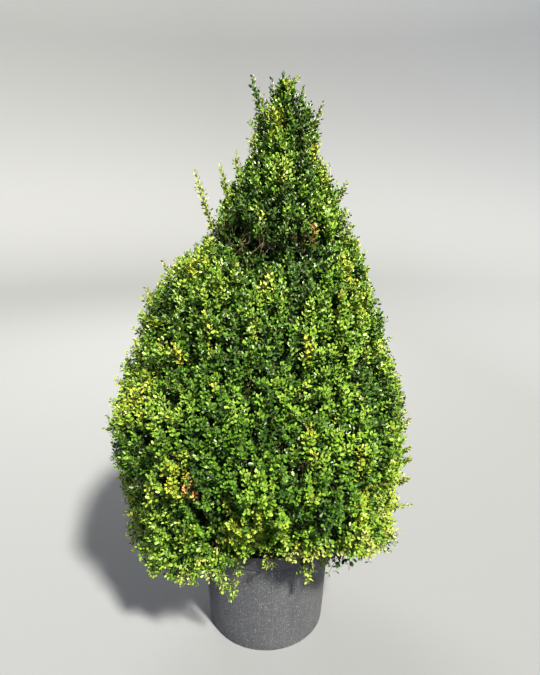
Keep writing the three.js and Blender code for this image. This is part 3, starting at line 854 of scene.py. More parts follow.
def border(ring: Ring, azimuth: Numbers, above: bool, tier: Tier = Tier()) -> Numbers:
    """The upper border of a ring, or the lower border of the one above it: a height plus waves round it.

    Args:
        ring: The ring.
        azimuth: Where round the crown.
        above: Whether the border of the ring above is wanted.
        tier: The gap over the shoulder.

    Returns:
        The heights.
    """
    if ring.tier:
        half = lerp(tier.back, tier.front, bell(turn_between(azimuth, tier.azimuth), tier.width))
        return tier.height + (half if above else -half)
    return ring.high + ring.wave * np.sin(np.radians(BORDER_WAVES * azimuth + ring.high))


@dataclass(frozen=True)
class Window:
    """A share of a mass: from and to across it, -1 to 1, and low and high in it, 0 to 1."""

    start: float
    end: float
    low: float
    high: float

    def halves(self, cut: float, upright: bool) -> tuple["Window", "Window"]:
        """Cuts it across its height where upright, and otherwise across its width."""
        if upright:
            level = lerp(self.low, self.high, cut)
            return replace(self, high=level), replace(self, low=level)
        side = lerp(self.start, self.end, cut)
        return replace(self, end=side), replace(self, start=side)


@dataclass
class Trunk:
    """The leader from its flat cut at the soil: root flares, a true taper, a sway and the crown's lean."""

    soil: float = 360.0
    tip: float = 1622.0
    foot_radius: float = 23.0
    middle_radius: float = 17.0
    tip_radius: float = 5.0
    flare: float = 11.0
    flare_height: float = 26.0
    buttresses: int = 4
    buttress_depth: float = 0.45
    lean_from: float = 0.1
    sway: float = 9.0
    sway_across: float = 0.7
    bends: int = 3
    rings: int = 150
    rings_bunched: float = 1.25
    sides: int = 40
    bark_radius: float = 60.0
    bark_stretch: float = 0.22
    ridges: Ripple = Ripple(22.0, 5)
    ridge_depth: float = 0.035
    lumps: Ripple = Ripple(60.0, 6)
    lump_depth: float = 0.02

    def middle(self, height: Numbers) -> Numbers:
        """The leader's middle: the crown's lean from a tenth of the way up, plus a sway that dies out.

        Args:
            height: How high.

        Returns:
            The points, their last axis x, y, z.
        """
        rise = np.clip((np.asarray(height, dtype=float) - self.soil) / (self.tip - self.soil), 0.0, 1.0)
        lean = CROWN.shift(self.tip) * smooth(self.lean_from, 1.0, rise)
        sway = self.sway * np.sin(math.pi * self.bends * rise) * (1.0 - rise)
        return stacked(lean + sway, sway * self.sway_across, height)

    def radius(self, height: Numbers) -> Numbers:
        """Its radius, straight from foot to middle and from middle to tip."""
        rise = np.clip((height - self.soil) / (self.tip - self.soil), 0.0, 1.0)
        return np.interp(rise, (0.0, 0.5, 1.0), (self.foot_radius, self.middle_radius, self.tip_radius))

    def build(self, bark: Finish) -> None:
        """Builds the leader: radius plus flare round its root flares, plus ridges of bark along it.

        Args:
            bark: Its finish.
        """
        foot = self.soil + CLEARANCE
        heights = foot + (self.tip - foot) * np.linspace(0.0, 1.0, self.rings) ** self.rings_bunched
        angles = 2.0 * math.pi * np.arange(self.sides) / self.sides
        flare = self.flare * np.exp(-(heights - foot) / self.flare_height)
        buttress = 1.0 + self.buttress_depth * np.cos(self.buttresses * angles)
        radii = self.radius(heights)[:, None] + flare[:, None] * buttress
        spots = on_cylinder(self.bark_radius, angles, heights * self.bark_stretch)
        ridges = np.abs(self.ridges(spots)) - RIDGE_MEAN
        radii = radii * (1.0 + self.ridge_depth * ridges + self.lump_depth * self.lumps(spots))
        points, faces = tubes(self.middle(heights)[None], radii[None])
        settle(make_piece("leader", points, faces, [bark]), ["trunk"])


@dataclass
class Mass:
    """One mass of foliage: its space round the crown, and how it is shared among tufts and sprays."""

    name: str
    azimuth: float
    span: float
    low: Callable[[Numbers], Numbers]
    high: Callable[[Numbers], Numbers]
    tufts: int
    size: float
    seed: int
    core_draws: int
    edge: float
    root: Numbers
    root_radius: float

    @property
    def middle(self) -> float:
        """The height of its middle."""
        return float(self.low(self.azimuth) + self.high(self.azimuth)) / 2

    def extent(self, window: Window) -> Pair:
        """How wide and tall a window of it is, as the source measures it."""
        wide = math.radians((window.end - window.start) * self.span / 2) * float(CROWN.radius(self.middle))
        return wide, (window.high - window.low) * float(self.high(self.azimuth) - self.low(self.azimuth))


@dataclass
class Bough:
    """One main bough: it leaves the leader, bends, and ends short of its mass, where twigs carry it on."""

    foot: Numbers
    bend: Numbers
    entry: Numbers
    radius: float
    taper: float = 0.8
    swelling: float = 0.5
    swelling_ends: float = 14.0
    rings: int = 26
    sides: int = 14
    bark_radius: float = 20.0
    bark_length: float = 60.0
    ridge_mm: float = 16.0
    ridge_depth: float = 0.05

    def surface(self, seed: int) -> tuple[Numbers, list[Faces]]:
        """A tube along the bend: the taper, a swelling at the leader, and ridges of bark along it.

        Args:
            seed: The seed of its ridges.

        Returns:
            The points, and blocks of wall faces and of end faces.
        """
        shares = np.linspace(0.0, 1.0, self.rings)
        path = along_curve(self.foot[None], self.bend[None], self.entry[None], shares)
        swelling = 1.0 + self.swelling * np.exp(-shares * self.swelling_ends)
        radius = self.radius * lerp(1.0, self.taper, shares) * swelling
        angles = 2.0 * math.pi * np.arange(self.sides) / self.sides
        spots = on_cylinder(self.bark_radius, angles, shares * self.bark_length)
        rough = 1.0 + self.ridge_depth * (np.abs(Ripple(self.ridge_mm, seed)(spots)) - RIDGE_MEAN)
        return tubes(path, (radius[:, None] * rough)[None])


@dataclass
class Framework:
    """The leader's main boughs and the masses they carry, laid out as in the source."""

    trunk: Trunk
    gap_over_core: float = 24.0
    drop: float = 20.0
    bend_at: float = 0.5
    stagger: float = 14.0
    stagger_step: int = 2
    tuft_edge: float = 18.0
    core_columns: int = 5
    core_rows: int = 4
    ring_seeds: int = 100
    bark_seeds: int = 40
    tip_low: float = 1640.0
    tip_high: float = 1815.0
    boughs: dict[str, Bough] = field(default_factory=dict)
    masses: list[Mass] = field(default_factory=list)

    def lay_out(self) -> None:
        """Works out every bough and mass, ring by ring from the bottom up, and then the tip."""
        below = None
        for level, ring in enumerate(RINGS):
            for order in range(ring.count):
                self.lay_mass(ring, level, order, below)
            below = ring
        self.masses.append(
            Mass(
                name="tip",
                azimuth=0.0,
                span=360.0,
                low=lambda azimuth: self.tip_low + 0.0 * azimuth,
                high=lambda azimuth: self.tip_high + 0.0 * azimuth,
                tufts=11,
                size=0.7,
                seed=500,
                core_draws=18,
                edge=0.0,
                root=self.trunk.middle(self.trunk.tip),
                root_radius=self.trunk.tip_radius,
            )
        )

    def lay_mass(self, ring: Ring, level: int, order: int, below: Ring | None) -> None:
        """Works out one mass and its bough.

        Args:
            ring: The mass's ring.
            level: The ring's number from the bottom.
            order: The mass's number in the ring.
            below: The ring below, or None.
        """
        span = 360.0 / ring.count
        azimuth = (ring.turn + order * span) % 360.0

        def high(at: Numbers) -> Numbers:
            """The mass's upper border."""
            return border(ring, at, above=False)

        def low(at: Numbers) -> Numbers:
            """The mass's lower border."""
            return CROWN.hem(at) if below is None else border(below, at, above=True)

        middle = float(low(azimuth) + high(azimuth)) / 2
        height = middle - self.drop
        rise = smooth(low(azimuth), high(azimuth), height)
        inner = float(CROWN.radius(height) * lerp(ring.inner, ring.neck, rise))
        entry = CROWN.place(azimuth, inner - self.gap_over_core, height)
        foot = self.trunk.middle(ring.foot + ((order * self.stagger_step) % ring.count) * self.stagger)
        along = heading(azimuth, ring.slope)
        run = math.hypot(entry[0] - foot[0], entry[1] - foot[1])
        bend = entry - along * self.bend_at * run / math.cos(math.radians(ring.slope))
        name = f"{ring.name}_{order + 1}"
        bough = Bough(foot, bend, entry, ring.bough)
        self.boughs[name] = bough
        self.masses.append(
            Mass(
                name=name,
                azimuth=azimuth,
                span=span,
                low=low,
                high=high,
                tufts=ring.tufts,
                size=ring.size,
                seed=self.ring_seeds * (level + 1) + order,
                core_draws=(self.core_columns + 1) * (self.core_rows + 1),
                edge=self.tuft_edge / float(CROWN.radius(middle)) / math.radians(span / 2),
                root=entry,
                root_radius=ring.bough * bough.taper,
            )
        )

    def build(self, bark: Finish) -> None:
        """Builds the boughs, one piece a ring.

        Args:
            bark: Their finish.
        """
        for ring in RINGS:
            names = [name for name in self.boughs if name.startswith(ring.name)]
            parts = [self.boughs[name].surface(seed + self.bark_seeds) for seed, name in enumerate(names)]
            piece = join_piece(f"boughs_{ring.name}", parts, bark)
            settle(piece, [f"bough_{name}" for name in names])


@dataclass(frozen=True)
class Habit:
    """How leaves sit on a shoot: pairs, the first one's place, their lean from foot to tip, and size."""

    pairs: int
    first: float
    lean: Pair
    size: float
    rings: int


class Kind(Enum):
    """The kinds of shoots."""

    LEADER = Habit(pairs=9, first=0.34, lean=(56.0, 30.0), size=1.03, rings=3)
    SIDE = Habit(pairs=4, first=0.22, lean=(58.0, 34.0), size=1.02, rings=2)
    INNER = Habit(pairs=3, first=0.4, lean=(75.0, 60.0), size=1.22, rings=2)
    LONG = Habit(pairs=22, first=0.08, lean=(50.0, 28.0), size=1.15, rings=4)


@dataclass(frozen=True)
class Branching:
    """How side shoots leave a shoot: where on it, their lean as a tangent, and their length, less at its tip.

    Each is turned about a third round from the last, and sets out wider than it ends.
    """

    shares: tuple[float, ...]
    spread: float
    length: float
    at_foot: float = 1.2
    shorter: float = 0.5
    length_stray: Pair = (0.8, 1.2)
    turn: float = 2.1
    turn_stray: float = 0.35
    bow: float = 2.2


@dataclass
class Shoots:
    """Leafy shoots as arrays, one row a shoot: its curve, its leaves' size and tone, and its mass."""

    start: Numbers
    bend: Numbers
    tip: Numbers
    size: Numbers
    tone: Picks
    mass: Picks

    def chosen(self, keep: Mask) -> "Shoots":
        """The shoots of a mask."""
        return Shoots(*(getattr(self, name)[keep] for name in self.__dataclass_fields__))

    @staticmethod
    def joined(parts: Sequence["Shoots"]) -> "Shoots":
        """Shoots laid end to end."""
        names = Shoots.__dataclass_fields__
        return Shoots(*(np.concatenate([getattr(part, name) for part in parts]) for name in names))

    @staticmethod
    def old(start: Numbers, tip: Numbers, size: Numbers, mass: Picks) -> "Shoots":
        """Straight old shoots with deep green leaves."""
        return Shoots(start, (start + tip) / 2, tip, size, np.full(len(tip), Tone.DEEP, dtype=np.int32), mass)

    def side_shoots(self, branching: Branching, random: Draws) -> "Shoots":
        """Side shoots that leave these, turned about a third round from one to the next, and curve upwards.

        Args:
            branching: How they leave them.
            random: The run of numbers.

        Returns:
            The side shoots.
        """
        shares = np.asarray(branching.shares)
        count, each = len(self.tip), len(shares)
        foot = along_curve(self.start, self.bend, self.tip, shares)
        line = curve_lines(self.start, self.bend, self.tip, shares)
        across, aside = sides_of(line)
        turn = random.uniform(0, 2 * math.pi, (count, 1)) + branching.turn * np.arange(each)
        turn = (turn + random.normal(scale=branching.turn_stray, size=(count, each)))[..., None]
        radial = across * np.cos(turn) + aside * np.sin(turn)
        long = branching.length * (branching.at_foot - branching.shorter * shares)
        long = long * random.uniform(*branching.length_stray, (count, each))
        long = (long * self.size[:, None])[..., None]
        tip = foot + unit(line + branching.spread * radial) * long
        bend = foot + unit(line + branching.bow * branching.spread * radial) * long / 2
        rows = [part.reshape(-1, 3) for part in (foot, bend, tip)]
        return Shoots(*rows, *(np.repeat(part, each) for part in (self.size, self.tone, self.mass)))


@dataclass
class Tree:
    """The forks of one mass's twigs: places, parents and the number of sprays that each one carries."""

    places: list[Numbers] = field(default_factory=list)
    parents: list[int] = field(default_factory=list)
    loads: list[int] = field(default_factory=list)

    def add(self, place: Numbers, parent: int, load: int) -> int:
        """Adds a fork and returns its number."""
        self.places.append(place)
        self.parents.append(parent)
        self.loads.append(load)
        return len(self.places) - 1


@dataclass(frozen=True)
class GrowthAndLight:
    """What sets a spray's tone, as parts of a measure from 0 for old wood to 1 for young growth.

    It is slow noise with a draw for the flame and one for the spray, and it is less at a flame's edge. It is
    more low down, where the lighter tones are painted light bounced up from the ground. It is more on the
    flanks, partly for young growth and partly as painted light. It is less in the pockets, where the darker
    tones are painted shade. The steps are where the tone changes.
    """

    base: float = 0.47
    mood: float = 0.1
    shade: float = 0.05
    own: float = 0.08
    shared: float = 0.15
    flame_edge: float = 0.14
    # Painted light: lighter tones low down, for light bounced up from the ground
    low: float = 0.13
    bounce_light_heights: Pair = (620.0, 860.0)
    # Partly young growth and partly painted light: lighter tones on the flanks
    flank: float = 0.14
    flank_power: float = 1.5
    flank_less: float = 0.3
    flank_heights: Pair = (1250.0, 1500.0)
    # Painted shade: darker tones in the pockets
    pocket: float = 0.3
    steps: tuple[float, ...] = (0.2, 0.5, 0.72, 1.02)
    pale: float = 0.5
    pale_heights: Pair = (430.0, 600.0)
    dry: float = 0.0002


@dataclass
class Growth:
    """The source's growth rule carried on: a mass is halved into tufts, and each tuft on into single sprays.

    A spray is a leader with its side shoots. The leader climbs to the crown's surface, steeper higher up, and
    hangs below the height where the source's tufts hang.
    """

    cell: float = 1010.0
    cut_stray: float = 0.16
    tuft_level: float = 0.66
    tuft_stray: float = 0.3
    tuft_roll: float = 56.0
    tuft_foot: float = 0.35
    tuft_gap: float = 6.0
    tuft_seeds: int = 1000
    climb: float = 0.84
    out: float = 0.48
    out_stray: float = 0.3
    leaf_length: float = 82.0
    grid: int = 13
    grid_inset: float = 0.02
    slope_step: float = 5.0
    # A fork lies back from the surface by a depth and a gain on the root of its window's area
    fork_depth: float = 52.0
    fork_gain: float = 0.42
    fork_dip: float = 26.0
    fork_least: float = 1.5
    hanging_below: Pair = (520.0, 640.0)
    rise_heights: tuple[float, ...] = (410, 460, 520, 640, 800, 1000, 1300, 1600)
    rises: tuple[float, ...] = (-42, -8, 24, 48, 62, 68, 74, 80)
    rise_stray: float = 6.0
    spray_size: Pair = (0.72, 0.28)
    leader_length: Pair = (105.0, 150.0)
    leader_stray: float = 0.1
    leader_bend: float = 0.62
    tuft_pull: float = 0.15
    # The surface's relief, in millimetres
    place_in_window: Pair = (0.25, 0.75)
    overhang: float = 20.0
    skin: float = 13.0
    coarse: Ripple = Ripple(170.0, 11)
    coarse_relief: float = 8.0
    middling: Ripple = Ripple(62.0, 12)
    middling_relief: float = 4.0
    relief_stray: Pair = (-7.0, 5.0)
    relief_limits: Pair = (-36.0, 17.0)
    front_limit_less: float = 11.0
    front_sines: Pair = (0.8, 0.95)
    least_reach: float = 6.0
    top_round_from: float = 0.62
    top_round_rise: float = 36.0
    # Upright flames of neighbouring sprays
    flame_sprays: int = 7
    flame_half: Pair = (25.0, 76.0)
    flame_size: Pair = (0.45, 0.55)
    flame_edge: float = 1.2
    flame_drop: float = 44.0
    flame_rise: Pair = (17.0, 31.0)
    flame_power: float = 1.4
    flame_pull: float = 0.6
    # Sprays lost in the pockets
    pocket_full: float = 60.0
    pocket_loss: float = 0.3
    deep_pocket: Pair = (70.0, 130.0)
    deep_pocket_loss: float = 0.5
    # Vigorous shoots that stand out of the surface
    long_part: float = 0.05
    long_more: Pair = (14.0, 36.0)
    long_within: float = 430.0
    long_above: float = 560.0
    long_pocket: float = 6.0
    long_bend: float = 0.3
    long_younger: int = 2
    branching: Branching = Branching((0.46, 0.62, 0.78), 0.36, 46.0)
    # Old shoots inside
    inner_rounds: int = 2
    inner_share: float = 0.18
    inner_spread: float = 1.1
    inner_length: Pair = (34.0, 52.0)
    inner_depth: float = 30.0
    inner_pocket: float = 0.85
    deep_load: int = 3
    deep_each: tuple[int, int] = (4, 8)
    deep_rings: tuple[str, ...] = ("skirt", "body")
    deep_pull: Pair = (0.45, -0.45)
    deep_size: float = 1.18
    deep_length: Pair = (45.0, 110.0)
    mood: Ripple = Ripple(330.0, 13)
    shade: Ripple = Ripple(95.0, 14)
    growth_and_light: GrowthAndLight = GrowthAndLight()

    def rise(self, height: Numbers) -> Numbers:
        """How steeply shoots climb at a height, in degrees, straight between stations."""
        return np.interp(height, self.rise_heights, self.rises)

    def fork(self, mass: Mass, window: Window) -> Numbers:
        """Where a window's twig forks: back from its middle along the shoots' line, deeper if it is wide.

        Args:
            mass: The mass.
            window: The window.

        Returns:
            The point.
        """
        azimuth = mass.azimuth + (window.start + window.end) / 2 * mass.span / 2
        wide, tall = mass.extent(window)
        level = (window.low + window.high) / 2
        height = float(lerp(mass.low(azimuth), mass.high(azimuth), level))
        depth = (self.fork_depth + self.fork_gain * math.sqrt(wide * tall)) * mass.size
        spot = CROWN.place(azimuth, CROWN.reach(azimuth, height), height)
        dip = self.fork_dip * smooth(*self.hanging_below, height)
        back = spot - heading(azimuth, self.rise(height) - dip) * depth
        middle = np.array([CROWN.shift(back[2]), 0.0])
        off = back[:2] - middle
        reach = max(float(np.hypot(*off)), self.fork_least * mass.root_radius)
        back[:2] = middle + unit(off) * reach
        return back

    def share(
        self, mass: Mass, window: Window, count: int, random: Seeded, tree: Tree, parent: int, load: int
    ) -> list[tuple[Window, int]]:
        """Shares a window among a number of parts, halving it across its longer side each time.

        Args:
            mass: The mass.
            window: The window to share.
            count: The number of parts.
            random: The run of numbers.
            tree: Where the forks are kept.
            parent: The fork that this one grows from.
            load: Sprays on each part.

        Returns:
            The parts with their forks' numbers.
        """
        fork = tree.add(self.fork(mass, window), parent, count * load)
        if count == 1:
            return [(window, fork)]
        wide, tall = mass.extent(window)
        first = math.ceil(count / 2)
        cut = first / count + (random() - 0.5) * self.cut_stray
        near, far = window.halves(cut, upright=not wide > tall)
        return [
            *self.share(mass, near, first, random, tree, fork, load),
            *self.share(mass, far, count - first, random, tree, fork, load),
        ]

    def tuft(self, mass: Mass, window: Window, random: Seeded) -> Numbers:
        """The line of one tuft of the source: up, rolled to a side, and outwards.

        Args:
            mass: The mass.
            window: The tuft's window.
            random: The run of numbers, drawn as in the source.

        Returns:
            The direction of its leaves.
        """
        side = lerp(window.start, window.end, 0.5 + (random() - 0.5) * self.tuft_stray)
        level = lerp(window.low, window.high, self.tuft_level + (random() - 0.5) * self.tuft_stray)
        azimuth = mass.azimuth + side * mass.span / 2
        low = float(mass.low(azimuth)) + self.leaf_length * mass.size * self.tuft_foot
        height = lerp(low, float(mass.high(azimuth)) - self.tuft_gap, level)
        facing = heading(azimuth, 0.0)
        roll = math.radians(self.tuft_roll * (random() - 0.5))
        climb = -self.climb if height < CROWN.hang else self.climb
        out = self.out * (1.0 + self.out_stray * (random() * 2.0 - 1.0))
        return unit(climb * (math.cos(roll) * UP + math.sin(roll) * np.cross(facing, UP)) + facing * out)

    def grow(self, mass: Mass, number: int) -> tuple[dict[Kind, Shoots], Tree]:
        """Grows all shoots of a mass.

        Args:
            mass: The mass.
            number: Its number among all masses.

        Returns:
            Its shoots by kind, and its twigs' forks.
        """
        random = Seeded(mass.seed)
        for _ in range(mass.core_draws):
            random()
        whole = Window(mass.edge - 1.0, 1.0 - mass.edge, 0.0, 1.0)
        load = max(1, round(self.surface(mass) / self.cell / mass.tufts))
        tree = Tree()
        root = tree.add(mass.root, -1, load * mass.tufts)
        tufts = self.share(mass, whole, mass.tufts, random, tree, root, load)
        lines = [self.tuft(mass, window, random) for window, _ in tufts]
        windows, forks, forwards = [], [], []
        stretch = 1.0 / (1.0 - mass.edge)
        for index, (window, fork) in enumerate(tufts):
            full = replace(window, start=window.start * stretch, end=window.end * stretch)
            fine = Seeded(mass.seed * self.tuft_seeds + index)
            for part, leaf_fork in self.share(mass, full, load, fine, tree, fork, 1):
                windows.append([part.start, part.end, part.low, part.high])
                forks.append(tree.parents[leaf_fork])
                forwards.append(lines[index])
        start = np.array(tree.places)[forks]
        return self.sprays(mass, number, np.array(windows), np.array(forwards), start, tree), tree

    def surface(self, mass: Mass) -> float:
        """The area of a mass's outside: the mean over a grid of width by height by the surface's slope.

        Args:
            mass: The mass.

        Returns:
            The area in square millimetres.
        """
        sides = np.linspace(-1, 1, self.grid)
        levels = np.linspace(self.grid_inset, 1.0 - self.grid_inset, self.grid)
        azimuth = mass.azimuth + sides[:, None] * mass.span / 2
        height = lerp(mass.low(azimuth), mass.high(azimuth), levels[None])
        radius = CROWN.reach(azimuth, height)
        tall = mass.high(azimuth) - mass.low(azimuth)
        step = self.slope_step
        slope = np.hypot(1.0, (CROWN.radius(height + step) - CROWN.radius(height - step)) / (2 * step))
        return float((math.radians(mass.span) * radius * tall * slope).mean())

    def flames(self, mass: Mass, azimuth: Numbers, height: Numbers, random: Draws) -> tuple[Faces, Numbers]:
        """Gathers neighbouring sprays into upright flames, each around the spray at its head.

        A spray joins the flame whose middle, a little under its head, is nearest in an upright ellipse.

        Args:
            mass: The mass.
            azimuth: Where each spray ends round the crown.
            height: How high it ends.
            random: The run of numbers.

        Returns:
            The head of each spray's flame, and how far out in the flame it stands, from 0 to 1 at its edge.
        """
        first = np.arange(0, len(azimuth), self.flame_sprays)
        heads = np.minimum(first + random.integers(0, self.flame_sprays, len(first)), len(azimuth) - 1)
        fixed, scaled = self.flame_size
        wide, tall = (half * (fixed + scaled * mass.size) for half in self.flame_half)
        around = np.radians(azimuth[:, None] - azimuth[heads]) * CROWN.reach(azimuth, height)[:, None]
        below = height[heads] - self.flame_drop * mass.size - height[:, None]
        away = np.hypot(around / wide, below / tall)
        return heads[away.argmin(axis=1)], np.minimum(away.min(axis=1), self.flame_edge)

    def tips(
        self, mass: Mass, windows: Numbers, random: Draws
    ) -> tuple[Numbers, Numbers, Numbers, Numbers, Faces, Numbers]:
        """Where the leaders end: on the crown's surface, less its relief and pockets, rounded at the top.

        Args:
            mass: The mass.
            windows: Rows of start, end, low and high, one a leader.
            random: The run of numbers.

        Returns:
            Azimuths, heights, points, the depths of the pockets, and the flames as flames() gives them.
        """
        count = len(windows)
        side = lerp(windows[:, 0], windows[:, 1], random.uniform(*self.place_in_window, count))
        level = lerp(windows[:, 2], windows[:, 3], random.uniform(*self.place_in_window, count))
        azimuth = mass.azimuth + side * mass.span / 2
        height = lerp(mass.low(azimuth) + self.overhang, mass.high(azimuth), level)
        surface = CROWN.reach(azimuth, height)
        spot = CROWN.place(azimuth, surface, height)
        heads, away = self.flames(mass, azimuth, height, random)
        relief = self.coarse_relief * self.coarse(spot) + self.middling_relief * self.middling(spot)
        relief = relief + random.uniform(*self.relief_stray, count)
        relief = relief + self.flame_rise[0] - self.flame_rise[1] * away**self.flame_power
        hollow = hollow_depth(azimuth, height)
        least, most = self.relief_limits
        most = most - self.front_limit_less * smooth(*self.front_sines, np.abs(np.sin(np.radians(azimuth))))
        reach = surface - self.skin * mass.size + np.clip(relief, least, most) * mass.size
        reach = np.maximum(reach - hollow, self.least_reach)
        if mass.name == "tip":
            over = smooth(self.top_round_from, 1.0, level)
            reach = reach * (1.0 - over * random.uniform(0.0, 1.0, count))
            height = height + self.top_round_rise * over * (1.0 - reach / surface)
        return azimuth, height, CROWN.place(azimuth, reach, height), hollow, heads, away

    def sprays(
        self, mass: Mass, number: int, windows: Numbers, forwards: Numbers, start: Numbers, tree: Tree
    ) -> dict[Kind, Shoots]:
        """Grows one spray from its fork to the surface for each window.

        Args:
            mass: The mass.
            number: Its number among all masses.
            windows: Rows of start, end, low and high.
            forwards: The line of each window's tuft.
            start: The fork that each spray grows from.
            tree: The mass's forks.

        Returns:
            Its leaders, their side shoots and the old shoots inside.
        """
        random = np.random.default_rng(mass.seed)
        count = len(windows)
        azimuth, height, tip, hollow, heads, away = self.tips(mass, windows, random)
        own = heading(azimuth, self.rise(height) + random.normal(scale=self.rise_stray, size=count))
        pull = np.where(height < self.hanging_below[0], 0.0, self.tuft_pull)[:, None]
        stray = self.leader_stray * random.normal(size=(count, 3))
        inwards = unit(tip[heads] + self.flame_drop * own[heads] - tip)
        forward = unit((1.0 - pull) * own + pull * forwards + self.flame_pull * inwards + stray)
        size = self.spray_size[0] + self.spray_size[1] * mass.size
        length = random.uniform(*self.leader_length, count) * size
        bend = tip - forward * (self.leader_bend * length)[:, None]
        tone = self.tones(azimuth, height, tip, hollow, heads, away, random)
        lost = self.pocket_loss * np.clip(hollow / self.pocket_full, 0.0, 1.0)
        lost = lost + self.deep_pocket_loss * smooth(*self.deep_pocket, hollow)
        keep = random.uniform(size=count) > lost
        vigorous = (random.uniform(size=count) < self.long_part) & (np.abs(tip[:, 1]) < self.long_within)
        vigorous &= (hollow < self.long_pocket) & (height > self.long_above)
        more = vigorous[:, None] * random.uniform(*self.long_more, (count, 1)) * size
        tip, bend = tip + forward * more, bend + self.long_bend * forward * more
        younger = np.minimum(tone + self.long_younger, Tone.YELLOW)
        tone = np.where(vigorous & (tone < Tone.YELLOW), younger, tone).astype(np.int32)
        numbers = np.full(count, number, dtype=np.int32)
        leaders = Shoots(start, bend, tip, np.full(count, size), tone, numbers).chosen(keep)
        sides = leaders.side_shoots(self.branching, random)
        old = [self.inner(leaders, random) for _ in range(self.inner_rounds)]
        inside = Shoots.joined([*old, self.deep(mass, tree, number, random)])
        carved = hollow_depth(CROWN.azimuth_of(inside.tip), inside.tip[:, 2])
        clear = CROWN.depth(inside.tip) > np.maximum(self.inner_depth * size, self.inner_pocket * carved)
        return {Kind.LEADER: leaders, Kind.SIDE: sides, Kind.INNER: inside.chosen(clear)}

    def inner(self, leaders: Shoots, random: Draws) -> Shoots:
        """Short old shoots that fill the inside, one at the foot of each leader.

        Args:
            leaders: The leaders.
            random: The run of numbers.

        Returns:
            The shoots.
        """
        foot = along_curve(leaders.start, leaders.bend, leaders.tip, np.array([self.inner_share]))[:, 0]
        line = unit(leaders.tip - leaders.start)
        aside = unit(line + self.inner_spread * random.normal(size=line.shape))
        tip = foot + aside * random.uniform(*self.inner_length, len(line))[:, None]
        return Shoots.old(foot, tip, leaders.size, leaders.mass)

    def deep(self, mass: Mass, tree: Tree, number: int, random: Draws) -> Shoots:
        """The oldest shoots, further inside: some off each fork that carries several sprays.

        In the two lowest rings there are more of them, and they lean towards the border between the two.

        Args:
            mass: The mass.
            tree: Its forks.
            number: Its number.
            random: The run of numbers.

        Returns:
            The shoots.
        """
        ring = mass.name.partition("_")[0]
        each = self.deep_each[ring in self.deep_rings]
        pull = self.deep_pull[self.deep_rings.index(ring)] if ring in self.deep_rings else 0.0
        forks = np.repeat(np.array(tree.places)[np.array(tree.loads) >= self.deep_load], each, axis=0)
        line = unit(unit(random.normal(size=forks.shape)) + pull * UP)
        tip = forks + line * random.uniform(*self.deep_length, len(forks))[:, None]
        return Shoots.old(
            forks, tip, np.full(len(forks), self.deep_size), np.full(len(forks), number, dtype=np.int32)
        )

    def tones(
        self,
        azimuth: Numbers,
        height: Numbers,
        spot: Numbers,
        hollow: Numbers,
        heads: Faces,
        away: Numbers,
        random: Draws,
    ) -> Picks:
        """Deals the tones out by spray: by growth, painted light and painted shade, paler along the hem, and
        by the patches of one tone.

        Args:
            azimuth: Where each spray is round the crown.
            height: Its height.
            spot: Its tip.
            hollow: The depth of the pocket that it stands in.
            heads: The head of its flame.
            away: How far out in the flame it stands.
            random: The run of numbers.

        Returns:
            The tone of each spray.
        """
        parts = self.growth_and_light
        count = len(azimuth)
        flank = np.abs(np.cos(np.radians(azimuth))) ** parts.flank_power
        flank = flank * (1.0 - parts.flank_less * smooth(*parts.flank_heights, height))
        own, shared = random.normal(size=(2, count))
        growth_and_light = parts.base + parts.mood * self.mood(spot) + parts.shade * self.shade(spot)
        growth_and_light = growth_and_light + parts.own * own + parts.shared * shared[heads]
        # Lighter low down is painted light bounced up from the ground, lighter on the flanks is partly
        # painted light, and darker in the pockets is painted shade
        growth_and_light = growth_and_light - parts.flame_edge * away + parts.low * (1.0 - smooth(*parts.bounce_light_heights, height))
        growth_and_light = growth_and_light + parts.flank * flank - parts.pocket * np.clip(hollow / self.pocket_full, 0.0, 1.0)
        tone = np.searchsorted(parts.steps, growth_and_light).astype(np.int32)
        pale = parts.pale * (1.0 - smooth(*parts.pale_heights, height))
        tone[random.uniform(size=count) < pale] = Tone.PALE
        tone[random.uniform(size=count) < parts.dry] = Tone.TAN
        for accent in ACCENTS:
            draw = random.uniform(size=count)
            draw = draw if accent.tone == Tone.TAN else draw[heads]
            tone[draw < accent.share(azimuth, height)] = accent.tone
        return tone


